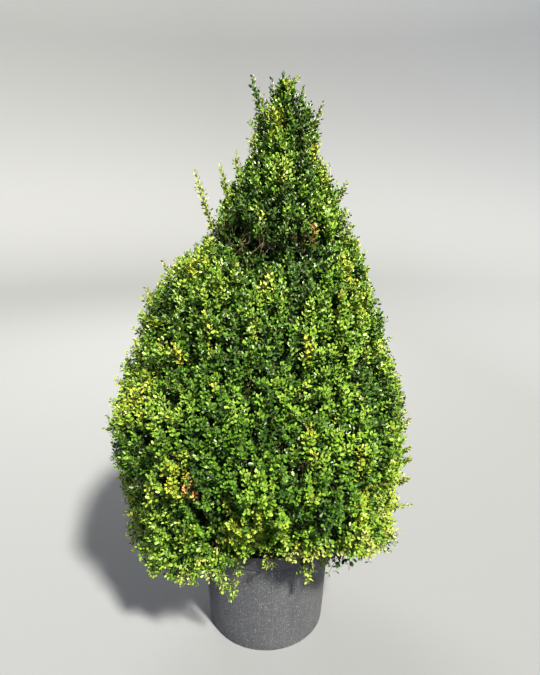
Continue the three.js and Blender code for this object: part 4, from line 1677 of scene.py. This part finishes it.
@dataclass
class Foliage:
    """The leaves and twigs: opposite pairs on each shoot, turned a quarter from pair to pair."""

    length: float = 14.4
    width: float = 8.8
    keel: float = 1.2
    size_places: tuple[float, ...] = (0.0, 0.3, 0.75, 1.0)
    sizes: tuple[float, ...] = (0.92, 1.0, 0.94, 0.62)
    size_stray: Pair = (0.8, 1.16)
    bunching: float = 0.85
    stalk: float = 0.8
    turn_stray: float = 0.22
    lean_power: float = 1.5
    lean_stray: float = 9.0
    light_rise: float = 0.8
    light_pull: float = 0.5
    face_stray: float = 0.25
    # Shares of leaves one tone younger near the tip, and kept from one tone older near the foot
    younger_from: float = 0.55
    younger: Pair = (0.04, 0.42)
    kept_up_to: float = 0.5
    kept: Pair = (0.55, 0.97)
    yellow_less_kept: float = 0.35
    stem_radius: float = 0.85
    stem_taper: Pair = (1.3, 0.5)
    stem_sides: int = 3
    twig_sides: int = 4
    twig_gain: float = 1.3
    twig_step: float = 1.2
    load_power: float = 0.36
    pocket_part: float = 0.09
    pocket_clear: float = 0.66
    pocket_slack: float = 8.0
    pocket_least: float = 20.0
    pot_radius: float = 243.0
    pot_top: float = 398.0

    # The corners of a blade: along it, across it and down from its face, as shares of length, width and keel
    OUTLINE = np.array(
        [
            [0.0, 0.0, 0.0],
            [0.34, 0.48, -1.0],
            [0.8, 0.4, -0.95],
            [1.0, 0.0, -0.5],
            [0.8, -0.4, -0.95],
            [0.34, -0.48, -1.0],
        ]
    )
    HALVES = np.array([[0, 1, 2, 3], [0, 3, 4, 5]])

    def leaves(self, shoots: Shoots, habit: Habit, seed: int) -> tuple[Numbers, Picks]:
        """Sets the leaves on their shoots.

        Each leaf starts on the shoot's curve and leans off it by an angle that closes towards the tip. Its
        blade faces the shoot's tip and is turned part of the way to the light outside.

        Args:
            shoots: The shoots.
            habit: How leaves sit on them.
            seed: The seed of the small differences.

        Returns:
            The corners of the shape (leaves, 6, 3), and the tone of each leaf.
        """
        random = np.random.default_rng(seed)
        count, pairs = len(shoots.tip), habit.pairs
        along = np.linspace(0.0, 1.0, pairs)
        shares = habit.first + (1.0 - habit.first) * along**self.bunching
        foot = along_curve(shoots.start, shoots.bend, shoots.tip, shares)
        line = curve_lines(shoots.start, shoots.bend, shoots.tip, shares)
        across, aside = sides_of(line)
        turn = random.uniform(0, 2 * math.pi, count)[:, None] + np.arange(pairs)[None] * math.pi / 2
        turn = turn + random.normal(scale=self.turn_stray, size=(count, pairs))
        turns = stacked(turn, turn + math.pi)[..., None]
        radial = across[:, :, None] * np.cos(turns) + aside[:, :, None] * np.sin(turns)
        lean = lerp(*habit.lean, along**self.lean_power)[None, :, None]
        lean = np.radians(lean + random.normal(scale=self.lean_stray, size=(count, pairs, 2)))[..., None]
        blade = unit(line[:, :, None] * np.cos(lean) + radial * np.sin(lean))
        light = unit(heading(CROWN.azimuth_of(shoots.tip), 0.0) + self.light_rise * UP)[:, None, None]
        stray = self.face_stray * random.normal(size=blade.shape)
        face = line[:, :, None] + self.light_pull * light + stray
        face = unit(face - blade * (face * blade).sum(-1, keepdims=True))
        side = np.cross(blade, face)
        size = habit.size * np.interp(along, self.size_places, self.sizes)[None, :, None]
        size = size * shoots.size[:, None, None] * random.uniform(*self.size_stray, (count, pairs, 2))
        foot = foot[:, :, None] + self.stalk * radial
        scale = size[..., None, None]
        corners = (
            foot[..., None, :]
            + blade[..., None, :] * (self.OUTLINE[:, 0:1] * self.length * scale)
            + side[..., None, :] * (self.OUTLINE[:, 1:2] * self.width * scale)
            + face[..., None, :] * (self.OUTLINE[:, 2:3] * self.keel * scale)
        )
        tone = np.broadcast_to(shoots.tone[:, None, None], size.shape)
        return corners.reshape(-1, 6, 3), self.freshen(tone, along, random).reshape(-1)

    def freshen(self, tone: Picks, along: Numbers, random: Draws) -> Picks:
        """Makes the tip leaves of green shoots one tone younger, and the lowest ones one tone older.

        Args:
            tone: The tones of the shape (shoots, pairs, 2).
            along: Where each pair sits, from 0 to 1.
            random: The run of numbers.

        Returns:
            The new tones.
        """
        draw = random.uniform(size=tone.shape)
        younger = draw < np.interp(along, (self.younger_from, 1.0), self.younger)[None, :, None]
        kept = np.interp(along, (0.0, self.kept_up_to), self.kept)[None, :, None]
        older = draw > kept - self.yellow_less_kept * (tone == Tone.YELLOW)
        step = younger.astype(np.int32) - older.astype(np.int32)
        new = np.clip(tone + step, Tone.DEEP, Tone.YELLOW)
        return np.where(tone <= Tone.YELLOW, new, tone).astype(np.int32)

    def off_the_pot(self, corners: Numbers) -> Mask:
        """Leaves with no corner in the pot's wall or soil."""
        radius = np.hypot(corners[..., 0], corners[..., 1])
        return ~((radius < self.pot_radius) & (corners[..., 2] < self.pot_top)).any(axis=1)

    def out_of_pockets(self, corners: Numbers, random: Draws) -> Mask:
        """Leaves that don't lie in a pocket, and the few that still reach into one.

        Args:
            corners: The leaves' corners.
            random: The run of numbers.

        Returns:
            A mask of the leaves.
        """
        middle = corners.mean(axis=1)
        hollow = hollow_depth(CROWN.azimuth_of(middle), middle[:, 2])
        under = CROWN.depth(middle) > self.pocket_clear * hollow - self.pocket_slack
        return under | (hollow < self.pocket_least) | (random.uniform(size=len(middle)) < self.pocket_part)

    def leaf_piece(
        self,
        name: str,
        corners: Numbers,
        tone: Picks,
        nodes: Sequence[str],
        finishes: Sequence[Finish],
    ) -> None:
        """Joins leaves into one piece, each blade two faces folded along its midrib.

        Args:
            name: The piece's name.
            corners: The leaves' corners.
            tone: Their tones.
            nodes: The masses' nodes that it stands for.
            finishes: The leaf finishes in the order of their tones.
        """
        first = (np.arange(len(corners)) * len(self.OUTLINE))[:, None, None]
        faces = (first + self.HALVES[None]).reshape(-1, 4)
        piece = make_piece(name, corners.reshape(-1, 3), [faces], finishes, np.repeat(tone, len(self.HALVES)))
        settle(piece, nodes)

    def stems(self, shoots: Shoots, habit: Habit) -> tuple[Numbers, list[Faces]]:
        """The shoots' own stems, three-sided, thinning to the tip.

        Args:
            shoots: The shoots.
            habit: Their habit, with the rings of a stem.

        Returns:
            The points, and blocks of wall faces and of end faces.
        """
        shares = np.linspace(0.0, 1.0, habit.rings)
        paths = along_curve(shoots.start, shoots.bend, shoots.tip, shares)
        radii = self.stem_radius * lerp(*self.stem_taper, shares)[None, :, None] * shoots.size[:, None, None]
        return tubes(paths, np.broadcast_to(radii, (len(paths), habit.rings, self.stem_sides)))

    def branches(self, mass: Mass, tree: Tree) -> tuple[Numbers, list[Faces]]:
        """The twigs between forks, four-sided, their radii a power of the sprays that they carry.

        Args:
            mass: The mass, whose root's radius is the most that a twig may have.
            tree: Its forks.

        Returns:
            The points, and blocks of wall faces and of end faces.
        """
        places, parents = np.array(tree.places), np.array(tree.parents)
        loads = np.array(tree.loads, dtype=float)
        shown = (parents >= 0) & (loads > 1)
        from_fork = parents[shown]
        radius = np.minimum(self.twig_gain * self.stem_radius * loads**self.load_power, mass.root_radius)
        paths = np.stack([places[from_fork], places[shown]], axis=1)
        radii = stacked(np.minimum(radius[from_fork], radius[shown] * self.twig_step), radius[shown])
        return tubes(paths, np.repeat(radii[..., None], self.twig_sides, axis=2))


@dataclass(frozen=True)
class LongShoot:
    """A long shoot past the crown's form: where it ends, how steeply it rises, its length and its tone."""

    tip: Triple
    rise: float
    length: float
    tone: Tone


LONG_SHOOTS = (
    LongShoot((-35, 0, 1849), 80, 170, Tone.MID),
    LongShoot((53, 0, 1859), 88, 150, Tone.MID),
    LongShoot((20, -20, 1838), 84, 140, Tone.DEEP),
    LongShoot((84, 12, 1842), 82, 140, Tone.MID),
    LongShoot((112, -10, 1820), 75, 140, Tone.FRESH),
    LongShoot((168, -20, 1774), 70, 150, Tone.LIME),
    LongShoot((-86, -26, 1640), 80, 170, Tone.YELLOW),
    LongShoot((-134, -30, 1600), 74, 170, Tone.LIME),
    LongShoot((-207, -40, 1584), 74, 190, Tone.YELLOW),
    LongShoot((245, -30, 1552), 66, 150, Tone.LIME),
    LongShoot((-315, -50, 1317), 66, 160, Tone.LIME),
    LongShoot((-370, -60, 1238), 62, 160, Tone.YELLOW),
    LongShoot((-546, -30, 752), 12, 150, Tone.LIME),
    LongShoot((510, -40, 462), 12, 150, Tone.LIME),
    LongShoot((485, -30, 783), 42, 110, Tone.PALE),
    LongShoot((496, -30, 677), 34, 120, Tone.LIME),
    LongShoot((499, -30, 626), 24, 115, Tone.LIME),
    LongShoot((499, -34, 561), 30, 105, Tone.PALE),
    LongShoot((498, -32, 640), 30, 130, Tone.LIME),
)


@dataclass(frozen=True)
class Droop:
    """A spray that hangs over the rim in front: from, over and down to, with its shoots and their spread."""

    start: Triple
    over: Triple
    end: Triple
    shoots: int
    spread: float


DROOPS = (
    Droop((-70, -262, 505), (-92, -300, 420), (-109, -275, 278), 18, 0.5),
    Droop((10, -250, 520), (12, -292, 492), (8, -298, 415), 12, 0.7),
    Droop((100, -232, 520), (120, -286, 480), (134, -274, 345), 32, 0.9),
    Droop((-150, -245, 480), (-172, -276, 415), (-132, -268, 300), 30, 0.8),
    Droop((150, -205, 520), (182, -250, 470), (186, -236, 372), 28, 0.9),
)


@dataclass
class SpecialSprays:
    """The long shoots and the hanging sprays, grown from the same curves as in the source."""

    seed: int = 77
    root_share: float = 1.15
    long_size: float = 0.95
    long_stray: float = 5.0
    branching: Branching = Branching((0.08, 0.18, 0.28, 0.38, 0.48, 0.58, 0.68), 0.24, 44.0)
    droop_size: float = 0.85
    droop_shares: Pair = (0.08, 0.97)
    droop_sway: Pair = (0.3, 1.0)
    droop_stray: float = 0.3
    droop_front: float = 0.35
    droop_length: Pair = (34.0, 50.0)
    length_places: tuple[float, ...] = (0.0, 0.7, 1.0)
    lengths: tuple[float, ...] = (1.0, 0.9, 0.3)
    droop_bow: Triple = (0.0, -3.0, 4.0)
    droop_tones: tuple[Tone, ...] = (Tone.PALE, Tone.PALE, Tone.LIME, Tone.FRESH)

    def long_shoot(self, shoot: LongShoot, mass: int, random: Draws) -> Shoots:
        """A main shoot on a slight bend from inside the crown to its tip.

        Args:
            shoot: The shoot.
            mass: The number of its mass.
            random: The run of numbers.

        Returns:
            The shoot as one row.
        """
        tip = np.array(shoot.tip, dtype=float)[None]
        forward = heading(CROWN.azimuth_of(tip), shoot.rise)
        start = tip - forward * shoot.length * self.root_share
        bend = (start + tip) / 2 + random.normal(scale=self.long_stray, size=(1, 3))
        tone = np.array([shoot.tone], dtype=np.int32)
        return Shoots(start, bend, tip, np.array([self.long_size]), tone, np.array([mass], dtype=np.int32))

    def droop(self, droop: Droop, mass: int, random: Draws) -> Shoots:
        """Shoots off a hanging curve, alternately to both sides, facing the front.

        Args:
            droop: The hanging spray.
            mass: The number of its mass.
            random: The run of numbers.

        Returns:
            The shoots.
        """
        count = droop.shoots
        corners = (droop.start, droop.over, droop.end)
        start, over, end = (np.array(corner, dtype=float)[None] for corner in corners)
        at = np.linspace(*self.droop_shares, count)
        roots = along_curve(start, over, end, at)[0]
        down = unit(end - over)[0]
        sway = np.where(np.arange(count) % 2 == 0, 1.0, -1.0) * random.uniform(*self.droop_sway, count)
        aside = np.array([1.0, 0.0, 0.0])
        stray = self.droop_stray * random.normal(size=(count, 3)) - np.array([0.0, self.droop_front, 0.0])
        forward = unit(down + droop.spread * sway[:, None] * aside + stray)
        length = random.uniform(*self.droop_length, count) * np.interp(at, self.length_places, self.lengths)
        tips = roots + forward * length[:, None]
        bend = (roots + tips) / 2 + np.array(self.droop_bow)
        tone = random.choice(self.droop_tones, count).astype(np.int32)
        numbers = np.full(count, mass, dtype=np.int32)
        return Shoots(roots, bend, tips, np.full(count, self.droop_size), tone, numbers)

    def grow(self, masses: Sequence[Mass]) -> dict[Kind, Shoots]:
        """Grows them all, each counted to the mass whose space it starts in.

        Args:
            masses: All masses.

        Returns:
            The long shoots, and the side shoots with the hanging sprays' shoots.
        """
        random = np.random.default_rng(self.seed)
        long = [self.long_shoot(shoot, home(masses, shoot.tip), random) for shoot in LONG_SHOOTS]
        hanging = [self.droop(droop, home(masses, droop.start), random) for droop in DROOPS]
        main = Shoots.joined(long)
        sides = main.side_shoots(self.branching, random)
        return {Kind.LONG: main, Kind.SIDE: Shoots.joined([sides, *hanging])}


def home(masses: Sequence[Mass], place: Triple) -> int:
    """The mass whose space holds a place.

    Args:
        masses: All masses.
        place: The place.

    Returns:
        The mass's number, or that of the last one, the tip.
    """
    azimuth, height = float(CROWN.azimuth_of(np.array(place, dtype=float))), place[2]
    for number, mass in enumerate(masses[:-1]):
        beside = abs(float(turn_between(azimuth, mass.azimuth))) <= mass.span / 2
        if beside and mass.low(azimuth) <= height <= mass.high(azimuth):
            return number
    return len(masses) - 1


@dataclass
class Crownwork:
    """All foliage: the masses' sprays, long shoots and hanging sprays, joined into a few pieces."""

    framework: Framework
    growth: Growth = field(default_factory=Growth)
    foliage: Foliage = field(default_factory=Foliage)
    special: SpecialSprays = field(default_factory=SpecialSprays)
    undivided: str = "spire"
    seed_step: int = 10

    def groups(self) -> dict[str, list[int]]:
        """The masses that share a piece of leaves: two or three neighbours, or the spire with the tip.

        Returns:
            The masses' numbers by the group's name.
        """
        halves = {ring.name: ring.count // 2 for ring in RINGS if ring.name != self.undivided}
        groups: dict[str, list[int]] = {}
        for number, mass in enumerate(self.framework.masses):
            ring, _, order = mass.name.partition("_")
            name = self.undivided
            if ring in halves:
                name = f"{ring}_a" if int(order) <= halves[ring] else f"{ring}_b"
            groups.setdefault(name, []).append(number)
        return groups

    def build(self, finishes: Sequence[Finish], bark: Finish) -> None:
        """Grows the crown and builds its pieces.

        Args:
            finishes: The leaf finishes in the order of their tones.
            bark: The twigs' finish.
        """
        masses = self.framework.masses
        grown = [self.growth.grow(mass, number) for number, mass in enumerate(masses)]
        special = self.special.grow(masses)
        shoots = {}
        for kind in Kind:
            sets = [part for part in (*(shoots for shoots, _ in grown), special) if kind in part]
            shoots[kind] = Shoots.joined([part[kind] for part in sets])
            LOG.info("%s: %d shoots", kind.name.lower(), len(shoots[kind].tip))
        for name, numbers in self.groups().items():
            own = {kind: part.chosen(np.isin(part.mass, numbers)) for kind, part in shoots.items()}
            self.leaf_piece(name, numbers, own, finishes)
            parts = [self.foliage.branches(masses[number], grown[number][1]) for number in numbers]
            parts += [self.foliage.stems(part, kind.value) for kind, part in own.items()]
            settle(join_piece(f"twigs_{name}", parts, bark), [])

    def leaf_piece(
        self, name: str, numbers: list[int], shoots: dict[Kind, Shoots], finishes: Sequence[Finish]
    ) -> None:
        """Joins the leaves of all kinds of shoots of a group.

        Args:
            name: The group's name.
            numbers: Its masses' numbers.
            shoots: Its shoots by kind.
            finishes: The leaf finishes.
        """
        sets = [
            self.foliage.leaves(part, kind.value, seed=self.seed_step * numbers[0] + order)
            for order, (kind, part) in enumerate(shoots.items())
        ]
        corners = np.concatenate([part for part, _ in sets])
        tone = np.concatenate([part for _, part in sets])
        clear = self.foliage.off_the_pot(corners)
        clear &= self.foliage.out_of_pockets(corners, np.random.default_rng(numbers[0]))
        nodes = [f"foliage_{self.framework.masses[number].name}" for number in numbers]
        self.foliage.leaf_piece(f"leaves_{name}", corners[clear], tone[clear], nodes, finishes)


@dataclass
class Pot:
    """The nursery pot: a tapered wall, a collar with a step, a rolled lip, a foot ring and two seams."""

    height: float = 395.0
    top_radius: float = 240.0
    base_radius: float = 208.0
    wall: float = 3.0
    floor: float = 5.0
    floor_round: float = 2.5
    foot_inset: float = 1.0
    foot_round: float = 4.8
    straight_from: float = 60.0
    collar_height: float = 55.0
    collar_step: float = 2.5
    groove: float = 1.4
    groove_from: float = 12.0
    groove_full: float = 6.0
    groove_to: float = 1.2
    lip_height: float = 9.0
    lip_width: float = 7.0
    lip_rise: float = 0.6
    recess_depth: float = 2.0
    recess_inner: float = 120.0
    recess_outer: float = 186.0
    seam_azimuths: Pair = (275.0, 95.0)
    seam_height: float = 0.9
    seam_degrees: float = 0.35
    seam_columns: Pair = (1.2, 0.15)
    # Depth in millimetres, number round the pot and phase of each wave of the wall, and where they run
    out_of_round: tuple[Triple, ...] = ((0.7, 2, 40), (0.4, 3, 0))
    sway_starts: Pair = (20.0, 330.0)
    sway_ends: Pair = (330.0, 380.0)
    sway_outside: float = 150.0
    seam_from: float = 8.0
    columns: int = 160

    def outer(self, height: float) -> float:
        """The wall's outer radius, straight from the base to under the lip."""
        return self.base_radius + (self.top_radius - self.lip_width - self.base_radius) * height / self.height

    def profile(self) -> Numbers:
        """Its outline from the middle of the underside out, up, over the lip and down the inside.

        Returns:
            Rows of radius and height.
        """
        step = self.height - self.collar_height
        lip = self.height - self.lip_height
        under = self.outer(step) - self.collar_step
        inside = under - self.wall
        shallow = self.recess_depth
        return rounded(
            [
                (0.0, 0.0, 0.0),
                (self.recess_inner, 0.0, 0.5),
                (self.recess_inner + shallow, shallow, 0.5),
                (self.recess_outer - shallow, shallow, 0.5),
                (self.recess_outer, 0.0, 0.5),
                (self.base_radius - self.foot_inset, 0.0, self.foot_round),
                (self.outer(self.straight_from), self.straight_from, 0.5),
                (under, step - self.groove_from, 1.5),
                (under - self.groove, step - self.groove_full, 1.5),
                (under - self.groove, step - self.groove_to, 0.5),
                (self.outer(step), step, 0.9),
                (self.outer(lip) + 0.2, lip, 1.2),
                (self.top_radius, lip + self.lip_rise, 1.6),
                (self.top_radius, self.height, 2.6),
                (self.outer(self.height) - self.wall, self.height, 1.4),
                (inside + 1.5, step - 2.0, 1.0),
                (inside, step - 6.0, 1.0),
                (self.outer(self.floor) - self.wall, self.floor, self.floor_round),
                (0.0, self.floor, 0.0),
            ]
        )

    def build(self, plastic: Finish) -> None:
        """Turns the outline round, with fine seams up the wall and a slight out-of-round sway.

        Args:
            plastic: Its finish.
        """
        half, step = self.seam_columns
        fine = [middle + np.arange(-half, half + 0.01, step) for middle in self.seam_azimuths]
        even = np.linspace(0, 360, self.columns, endpoint=False)
        angles = np.unique(np.round(np.concatenate([even, *fine]), 3))
        profile = self.profile()
        high, radius = profile[:, 1, None], profile[:, 0, None]
        wall = (radius > self.base_radius - 1.0) & (high > self.seam_from)
        wall &= high < self.height - self.lip_height - 1.0
        outside = np.arange(len(profile))[:, None] < np.argmax(profile[:, 0]) + 1
        seam = sum(bell(turn_between(angles, middle), self.seam_degrees) for middle in self.seam_azimuths)
        waves = sum(
            depth * np.sin(np.radians(lobes * angles + phase)) for depth, lobes, phase in self.out_of_round
        )
        sway = waves[None] * smooth(*self.sway_starts, high) * (1 - smooth(*self.sway_ends, high))
        sway = sway * (radius > self.sway_outside)
        reach = self.seam_height * seam[None] * (wall & outside) + sway
        points, faces = lathe(profile, angles, reach)
        settle(make_piece("pot_shell", points, faces, [plastic]), ["pot"])


@dataclass
class Soil:
    """The potting mix: a crumbly surface, higher in the middle, with bark chips scattered on it."""

    top: float = 360.0
    top_inset: float = 3.0
    edge_drop: float = 7.0
    edge_gap: float = 1.0
    edge_calm: float = 6.0
    shoulder: float = 0.72
    coarse: Ripple = Ripple(46.0, 21)
    coarse_height: float = 1.1
    fine: Ripple = Ripple(13.0, 22)
    fine_height: float = 0.7
    rows: int = 46
    rows_bunched: float = 0.8
    least_row: float = 0.02
    columns: int = 120
    chips: int = 420
    chip_seed: int = 31
    chip_length: Pair = (5.0, 13.0)
    chip_width: Pair = (0.35, 0.7)
    chip_height: float = 0.22
    chip_corners: Pair = (0.6, 1.0)
    chip_tilt: float = 0.18
    chip_lift: float = 0.3
    chip_areas: Pair = (0.06, 1.0)
    chip_from_rim: float = 14.0

    def surface_height(self, spots: Numbers, rim: float) -> Numbers:
        """The surface: the middle's height, a drop to the edge, and crumbs of two sizes on it.

        Args:
            spots: Places on it, whose heights don't count.
            rim: The radius of its edge.

        Returns:
            The heights.
        """
        radius = np.hypot(spots[..., 0], spots[..., 1])
        drop = self.edge_drop * smooth(self.shoulder * rim, rim, radius)
        flat = stacked(spots[..., 0], spots[..., 1], 0.0)
        crumbs = self.coarse_height * self.coarse(flat) + self.fine_height * self.fine(flat)
        return self.top - self.top_inset - drop + crumbs * (1.0 - smooth(rim - self.edge_calm, rim, radius))

    def build(self, pot: Pot, mix: Finish, chips: Finish) -> None:
        """Builds the filling from the pot's floor up, and the chips as squashed lumps lying on it.

        Args:
            pot: The pot that holds it.
            mix: The filling's finish.
            chips: The chips' finish.
        """
        gap = pot.collar_step + pot.wall + 2 * CLEARANCE
        floor = pot.floor + CLEARANCE
        rim = pot.outer(self.top - self.edge_drop) - gap - self.edge_gap
        radii = rim * np.linspace(1.0, self.least_row, self.rows)[1:] ** self.rows_bunched
        edge = self.top - self.edge_drop - self.top_inset
        sides = np.array([[0.0, floor], [pot.outer(floor) - gap - self.edge_gap, floor], [rim, edge]])
        top = stacked(radii, self.top)
        profile = np.concatenate([sides, top, [[0.0, self.top - self.top_inset]]])
        points, faces = lathe(profile, np.linspace(0, 360, self.columns, endpoint=False))
        upper = points[:, 2] > edge - 0.01
        points[upper, 2] = self.surface_height(points[upper], rim)
        settle(make_piece("potting_mix", points, faces, [mix]), ["soil"])
        self.build_chips(rim, chips)

    def build_chips(self, rim: float, finish: Finish) -> None:
        """Scatters chips: boxes with seeded sizes and turns, their corners pulled in, half sunk in the mix.

        Args:
            rim: The radius of the mix's edge.
            finish: Their finish.
        """
        random, count = np.random.default_rng(self.chip_seed), self.chips
        radius = (rim - self.chip_from_rim) * np.sqrt(random.uniform(*self.chip_areas, count))
        angle = random.uniform(0, 2 * math.pi, count)
        spots = stacked(radius * np.cos(angle), radius * np.sin(angle), 0.0)
        spots[:, 2] = self.surface_height(spots, rim) + self.chip_lift
        length = random.uniform(*self.chip_length, count)
        width = length * random.uniform(*self.chip_width, count)
        sizes = stacked(length, width, length * self.chip_height)
        box = np.array([[x, y, z] for z in (-1, 1) for y in (-1, 1) for x in (-1, 1)]) / 2.0
        local = box[None] * sizes[:, None] * random.uniform(*self.chip_corners, (count, len(box), 3))
        turn, tilt = random.uniform(0, 2 * math.pi, count), random.normal(scale=self.chip_tilt, size=count)
        local[..., 2] += local[..., 0] * np.tan(tilt)[:, None]
        cos, sin = np.cos(turn)[:, None], np.sin(turn)[:, None]
        along, across, high = (local[..., axis] for axis in range(3))
        turned = stacked(along * cos - across * sin, along * sin + across * cos, high)
        corners = (turned + spots[:, None]).reshape(-1, 3)
        quads = np.array([[0, 2, 3, 1], [4, 5, 7, 6], [0, 1, 5, 4], [2, 6, 7, 3], [0, 4, 6, 2], [1, 3, 7, 5]])
        faces = (np.arange(count)[:, None, None] * len(box) + quads[None]).reshape(-1, 4)
        settle(make_piece("bark_chips", corners, [faces], [finish]), [])


@dataclass(frozen=True)
class Panel:
    """A square soft light that faces the plant: its name, its place in metres, its side, power and colour."""

    name: str
    place: Triple
    side: float
    power: float
    colour: str


@dataclass
class Studio:
    """A plain pale floor that sweeps up all round, light from the upper right, and the photo's camera.

    The floor casts no shadow, so the key light reaches it over the raised wall.
    """

    camera_place: Triple = (0.0, -1.722, 1.53)
    pitch: float = 15.2
    yaw: float = 0.49
    lens: float = 28.85
    sensor: float = 36.0
    clip: Pair = (0.05, 60.0)
    floor_radius: float = 8.0
    floor_depth: float = 100.0
    bowl_radius: float = 13.0
    bowl_height: float = 12.5
    bowl_rows: int = 25
    bowl_columns: int = 240
    floor_colour: str = "#707479"
    floor_roughness: float = 0.9
    sky_colour: str = "#dbe3ee"
    sky_strength: float = 0.07
    key_towards: Triple = (-1.9, 3.0, -4.15)
    key_angle: float = 6.0
    key_power: float = 11.0
    key_colour: str = "#fff6e6"
    panels: tuple[Panel, ...] = (
        Panel("fill", (-3.4, -4.2, 2.6), 2.6, 60.0, "#d2e2ff"),
        Panel("rim", (-1.4, 4.2, 4.0), 2.6, 230.0, "#fff8ee"),
    )
    wall_azimuths: tuple[float, ...] = (232.0, 302.0, 12.0)
    wall_rise: float = 10.0
    wall_light_height: float = 7.5
    wall_size: float = 1.5
    wall_power: float = 1900.0
    wall_colour: str = "#ffffff"
    aim: Triple = (0.0, 0.0, 0.95)

    def build(self) -> None:
        """Builds the floor, the lights and the camera, and sets how the picture's tones are shown."""
        self.build_floor()
        self.build_lights()
        self.build_camera()
        bpy.context.scene.view_settings.view_transform = "Standard"
        bpy.context.scene.view_settings.look = "Medium High Contrast"

    def build_floor(self) -> None:
        """Turns a level line that bends up into a wall round the Z axis."""
        flat, wide, high = (size / MM for size in (self.floor_radius, self.bowl_radius, self.bowl_height))
        ends = (np.array([[wide, wide - flat]]), np.array([[wide, 0.0]]), np.array([[flat, 0.0]]))
        sweep = along_curve(*ends, np.linspace(0.0, 1.0, self.bowl_rows))[0]
        deep = self.floor_depth
        under = [[0.0, -deep], [wide + deep, -deep], [wide + deep, high], [wide, high]]
        profile = np.concatenate([under, sweep, [[0.0, 0.0]]])
        points, faces = lathe(profile, np.linspace(0, 360, self.bowl_columns, endpoint=False))
        finish, shader, _ = new_finish("studio_floor", Roughness=self.floor_roughness)
        shader.inputs["Base Color"].default_value = linear(self.floor_colour)
        floor = make_piece("studio_floor", points, faces, [finish])
        floor.visible_shadow = False

    def build_lights(self) -> None:
        """Adds the sky, the key and the soft panels for the plant, and lights over it for the far walls."""
        world = bpy.data.worlds.new("studio_world")
        world.use_nodes = True
        backdrop = world.node_tree.nodes["Background"]
        backdrop.inputs["Color"].default_value = linear(self.sky_colour)
        backdrop.inputs["Strength"].default_value = self.sky_strength
        bpy.context.scene.world = world
        key = self.light("SUN", "key", self.key_towards, self.key_towards, self.key_power, self.key_colour)
        key.angle = math.radians(self.key_angle)
        for panel in self.panels:
            facing = [self.aim[axis] - panel.place[axis] for axis in range(3)]
            lamp = self.light("AREA", panel.name, panel.place, facing, panel.power, panel.colour)
            lamp.size = panel.side
        for number, azimuth in enumerate(self.wall_azimuths):
            out = heading(azimuth, self.wall_rise)
            place = out + self.wall_light_height * UP
            lamp = self.light("AREA", f"wall_{number}", place, out, self.wall_power, self.wall_colour)
            lamp.size = self.wall_size

    def build_camera(self) -> None:
        """Sets the camera at the photo's viewing angle."""
        camera = bpy.data.cameras.new("camera")
        camera.lens, camera.sensor_width = self.lens, self.sensor
        camera.clip_start, camera.clip_end = self.clip
        holder = bpy.data.objects.new("camera", camera)
        holder.location = self.camera_place
        holder.rotation_euler = (math.radians(90.0 - self.pitch), 0.0, math.radians(-self.yaw))
        bpy.context.scene.collection.objects.link(holder)
        bpy.context.scene.camera = holder

    def light(
        self, kind: str, name: str, place: Triple, towards: Triple, power: float, colour: str
    ) -> bpy.types.Light:
        """Adds a light.

        Args:
            kind: Blender's name of its kind.
            name: Its name.
            place: Where it stands, in metres.
            towards: The line along which it shines.
            power: Its power in watts, of the sun in watts a square metre.
            colour: Its colour.

        Returns:
            The light.
        """
        lamp = bpy.data.lights.new(name, kind)
        lamp.energy, lamp.color = power, linear(colour)[:3]
        holder = bpy.data.objects.new(name, lamp)
        holder.location = place
        holder.rotation_euler = Vector(towards).to_track_quat("-Z", "Y").to_euler()
        bpy.context.scene.collection.objects.link(holder)
        return lamp


def main() -> None:
    """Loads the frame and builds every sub-assembly in order."""
    logging.basicConfig(level=logging.INFO, format="%(name)s: %(message)s")
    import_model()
    bark = BoxBark("box_bark_old", "#7e6e58", "#483a2c").make()
    twig_bark = BoxBark("box_bark_twig", "#645a3e", "#42382a", crack_mm=3.0, depth_mm=0.3).make()
    finishes = [LEAF_FINISHES[tone].make() for tone in Tone]
    trunk = Trunk()
    trunk.build(bark)
    framework = Framework(trunk)
    framework.lay_out()
    framework.build(bark)
    Crownwork(framework).build(finishes, twig_bark)
    pot = Pot()
    pot.build(NurseryPlastic().make())
    Soil().build(
        pot,
        PottingMix("bark_compost", "#2e211a", "#5a4534").make(),
        PottingMix("bark_chips", "#6b4d36", "#9a7a58", crumb_mm=3.0).make(),
    )
    Studio().build()
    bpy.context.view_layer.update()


if __name__ == "__main__":
    main()
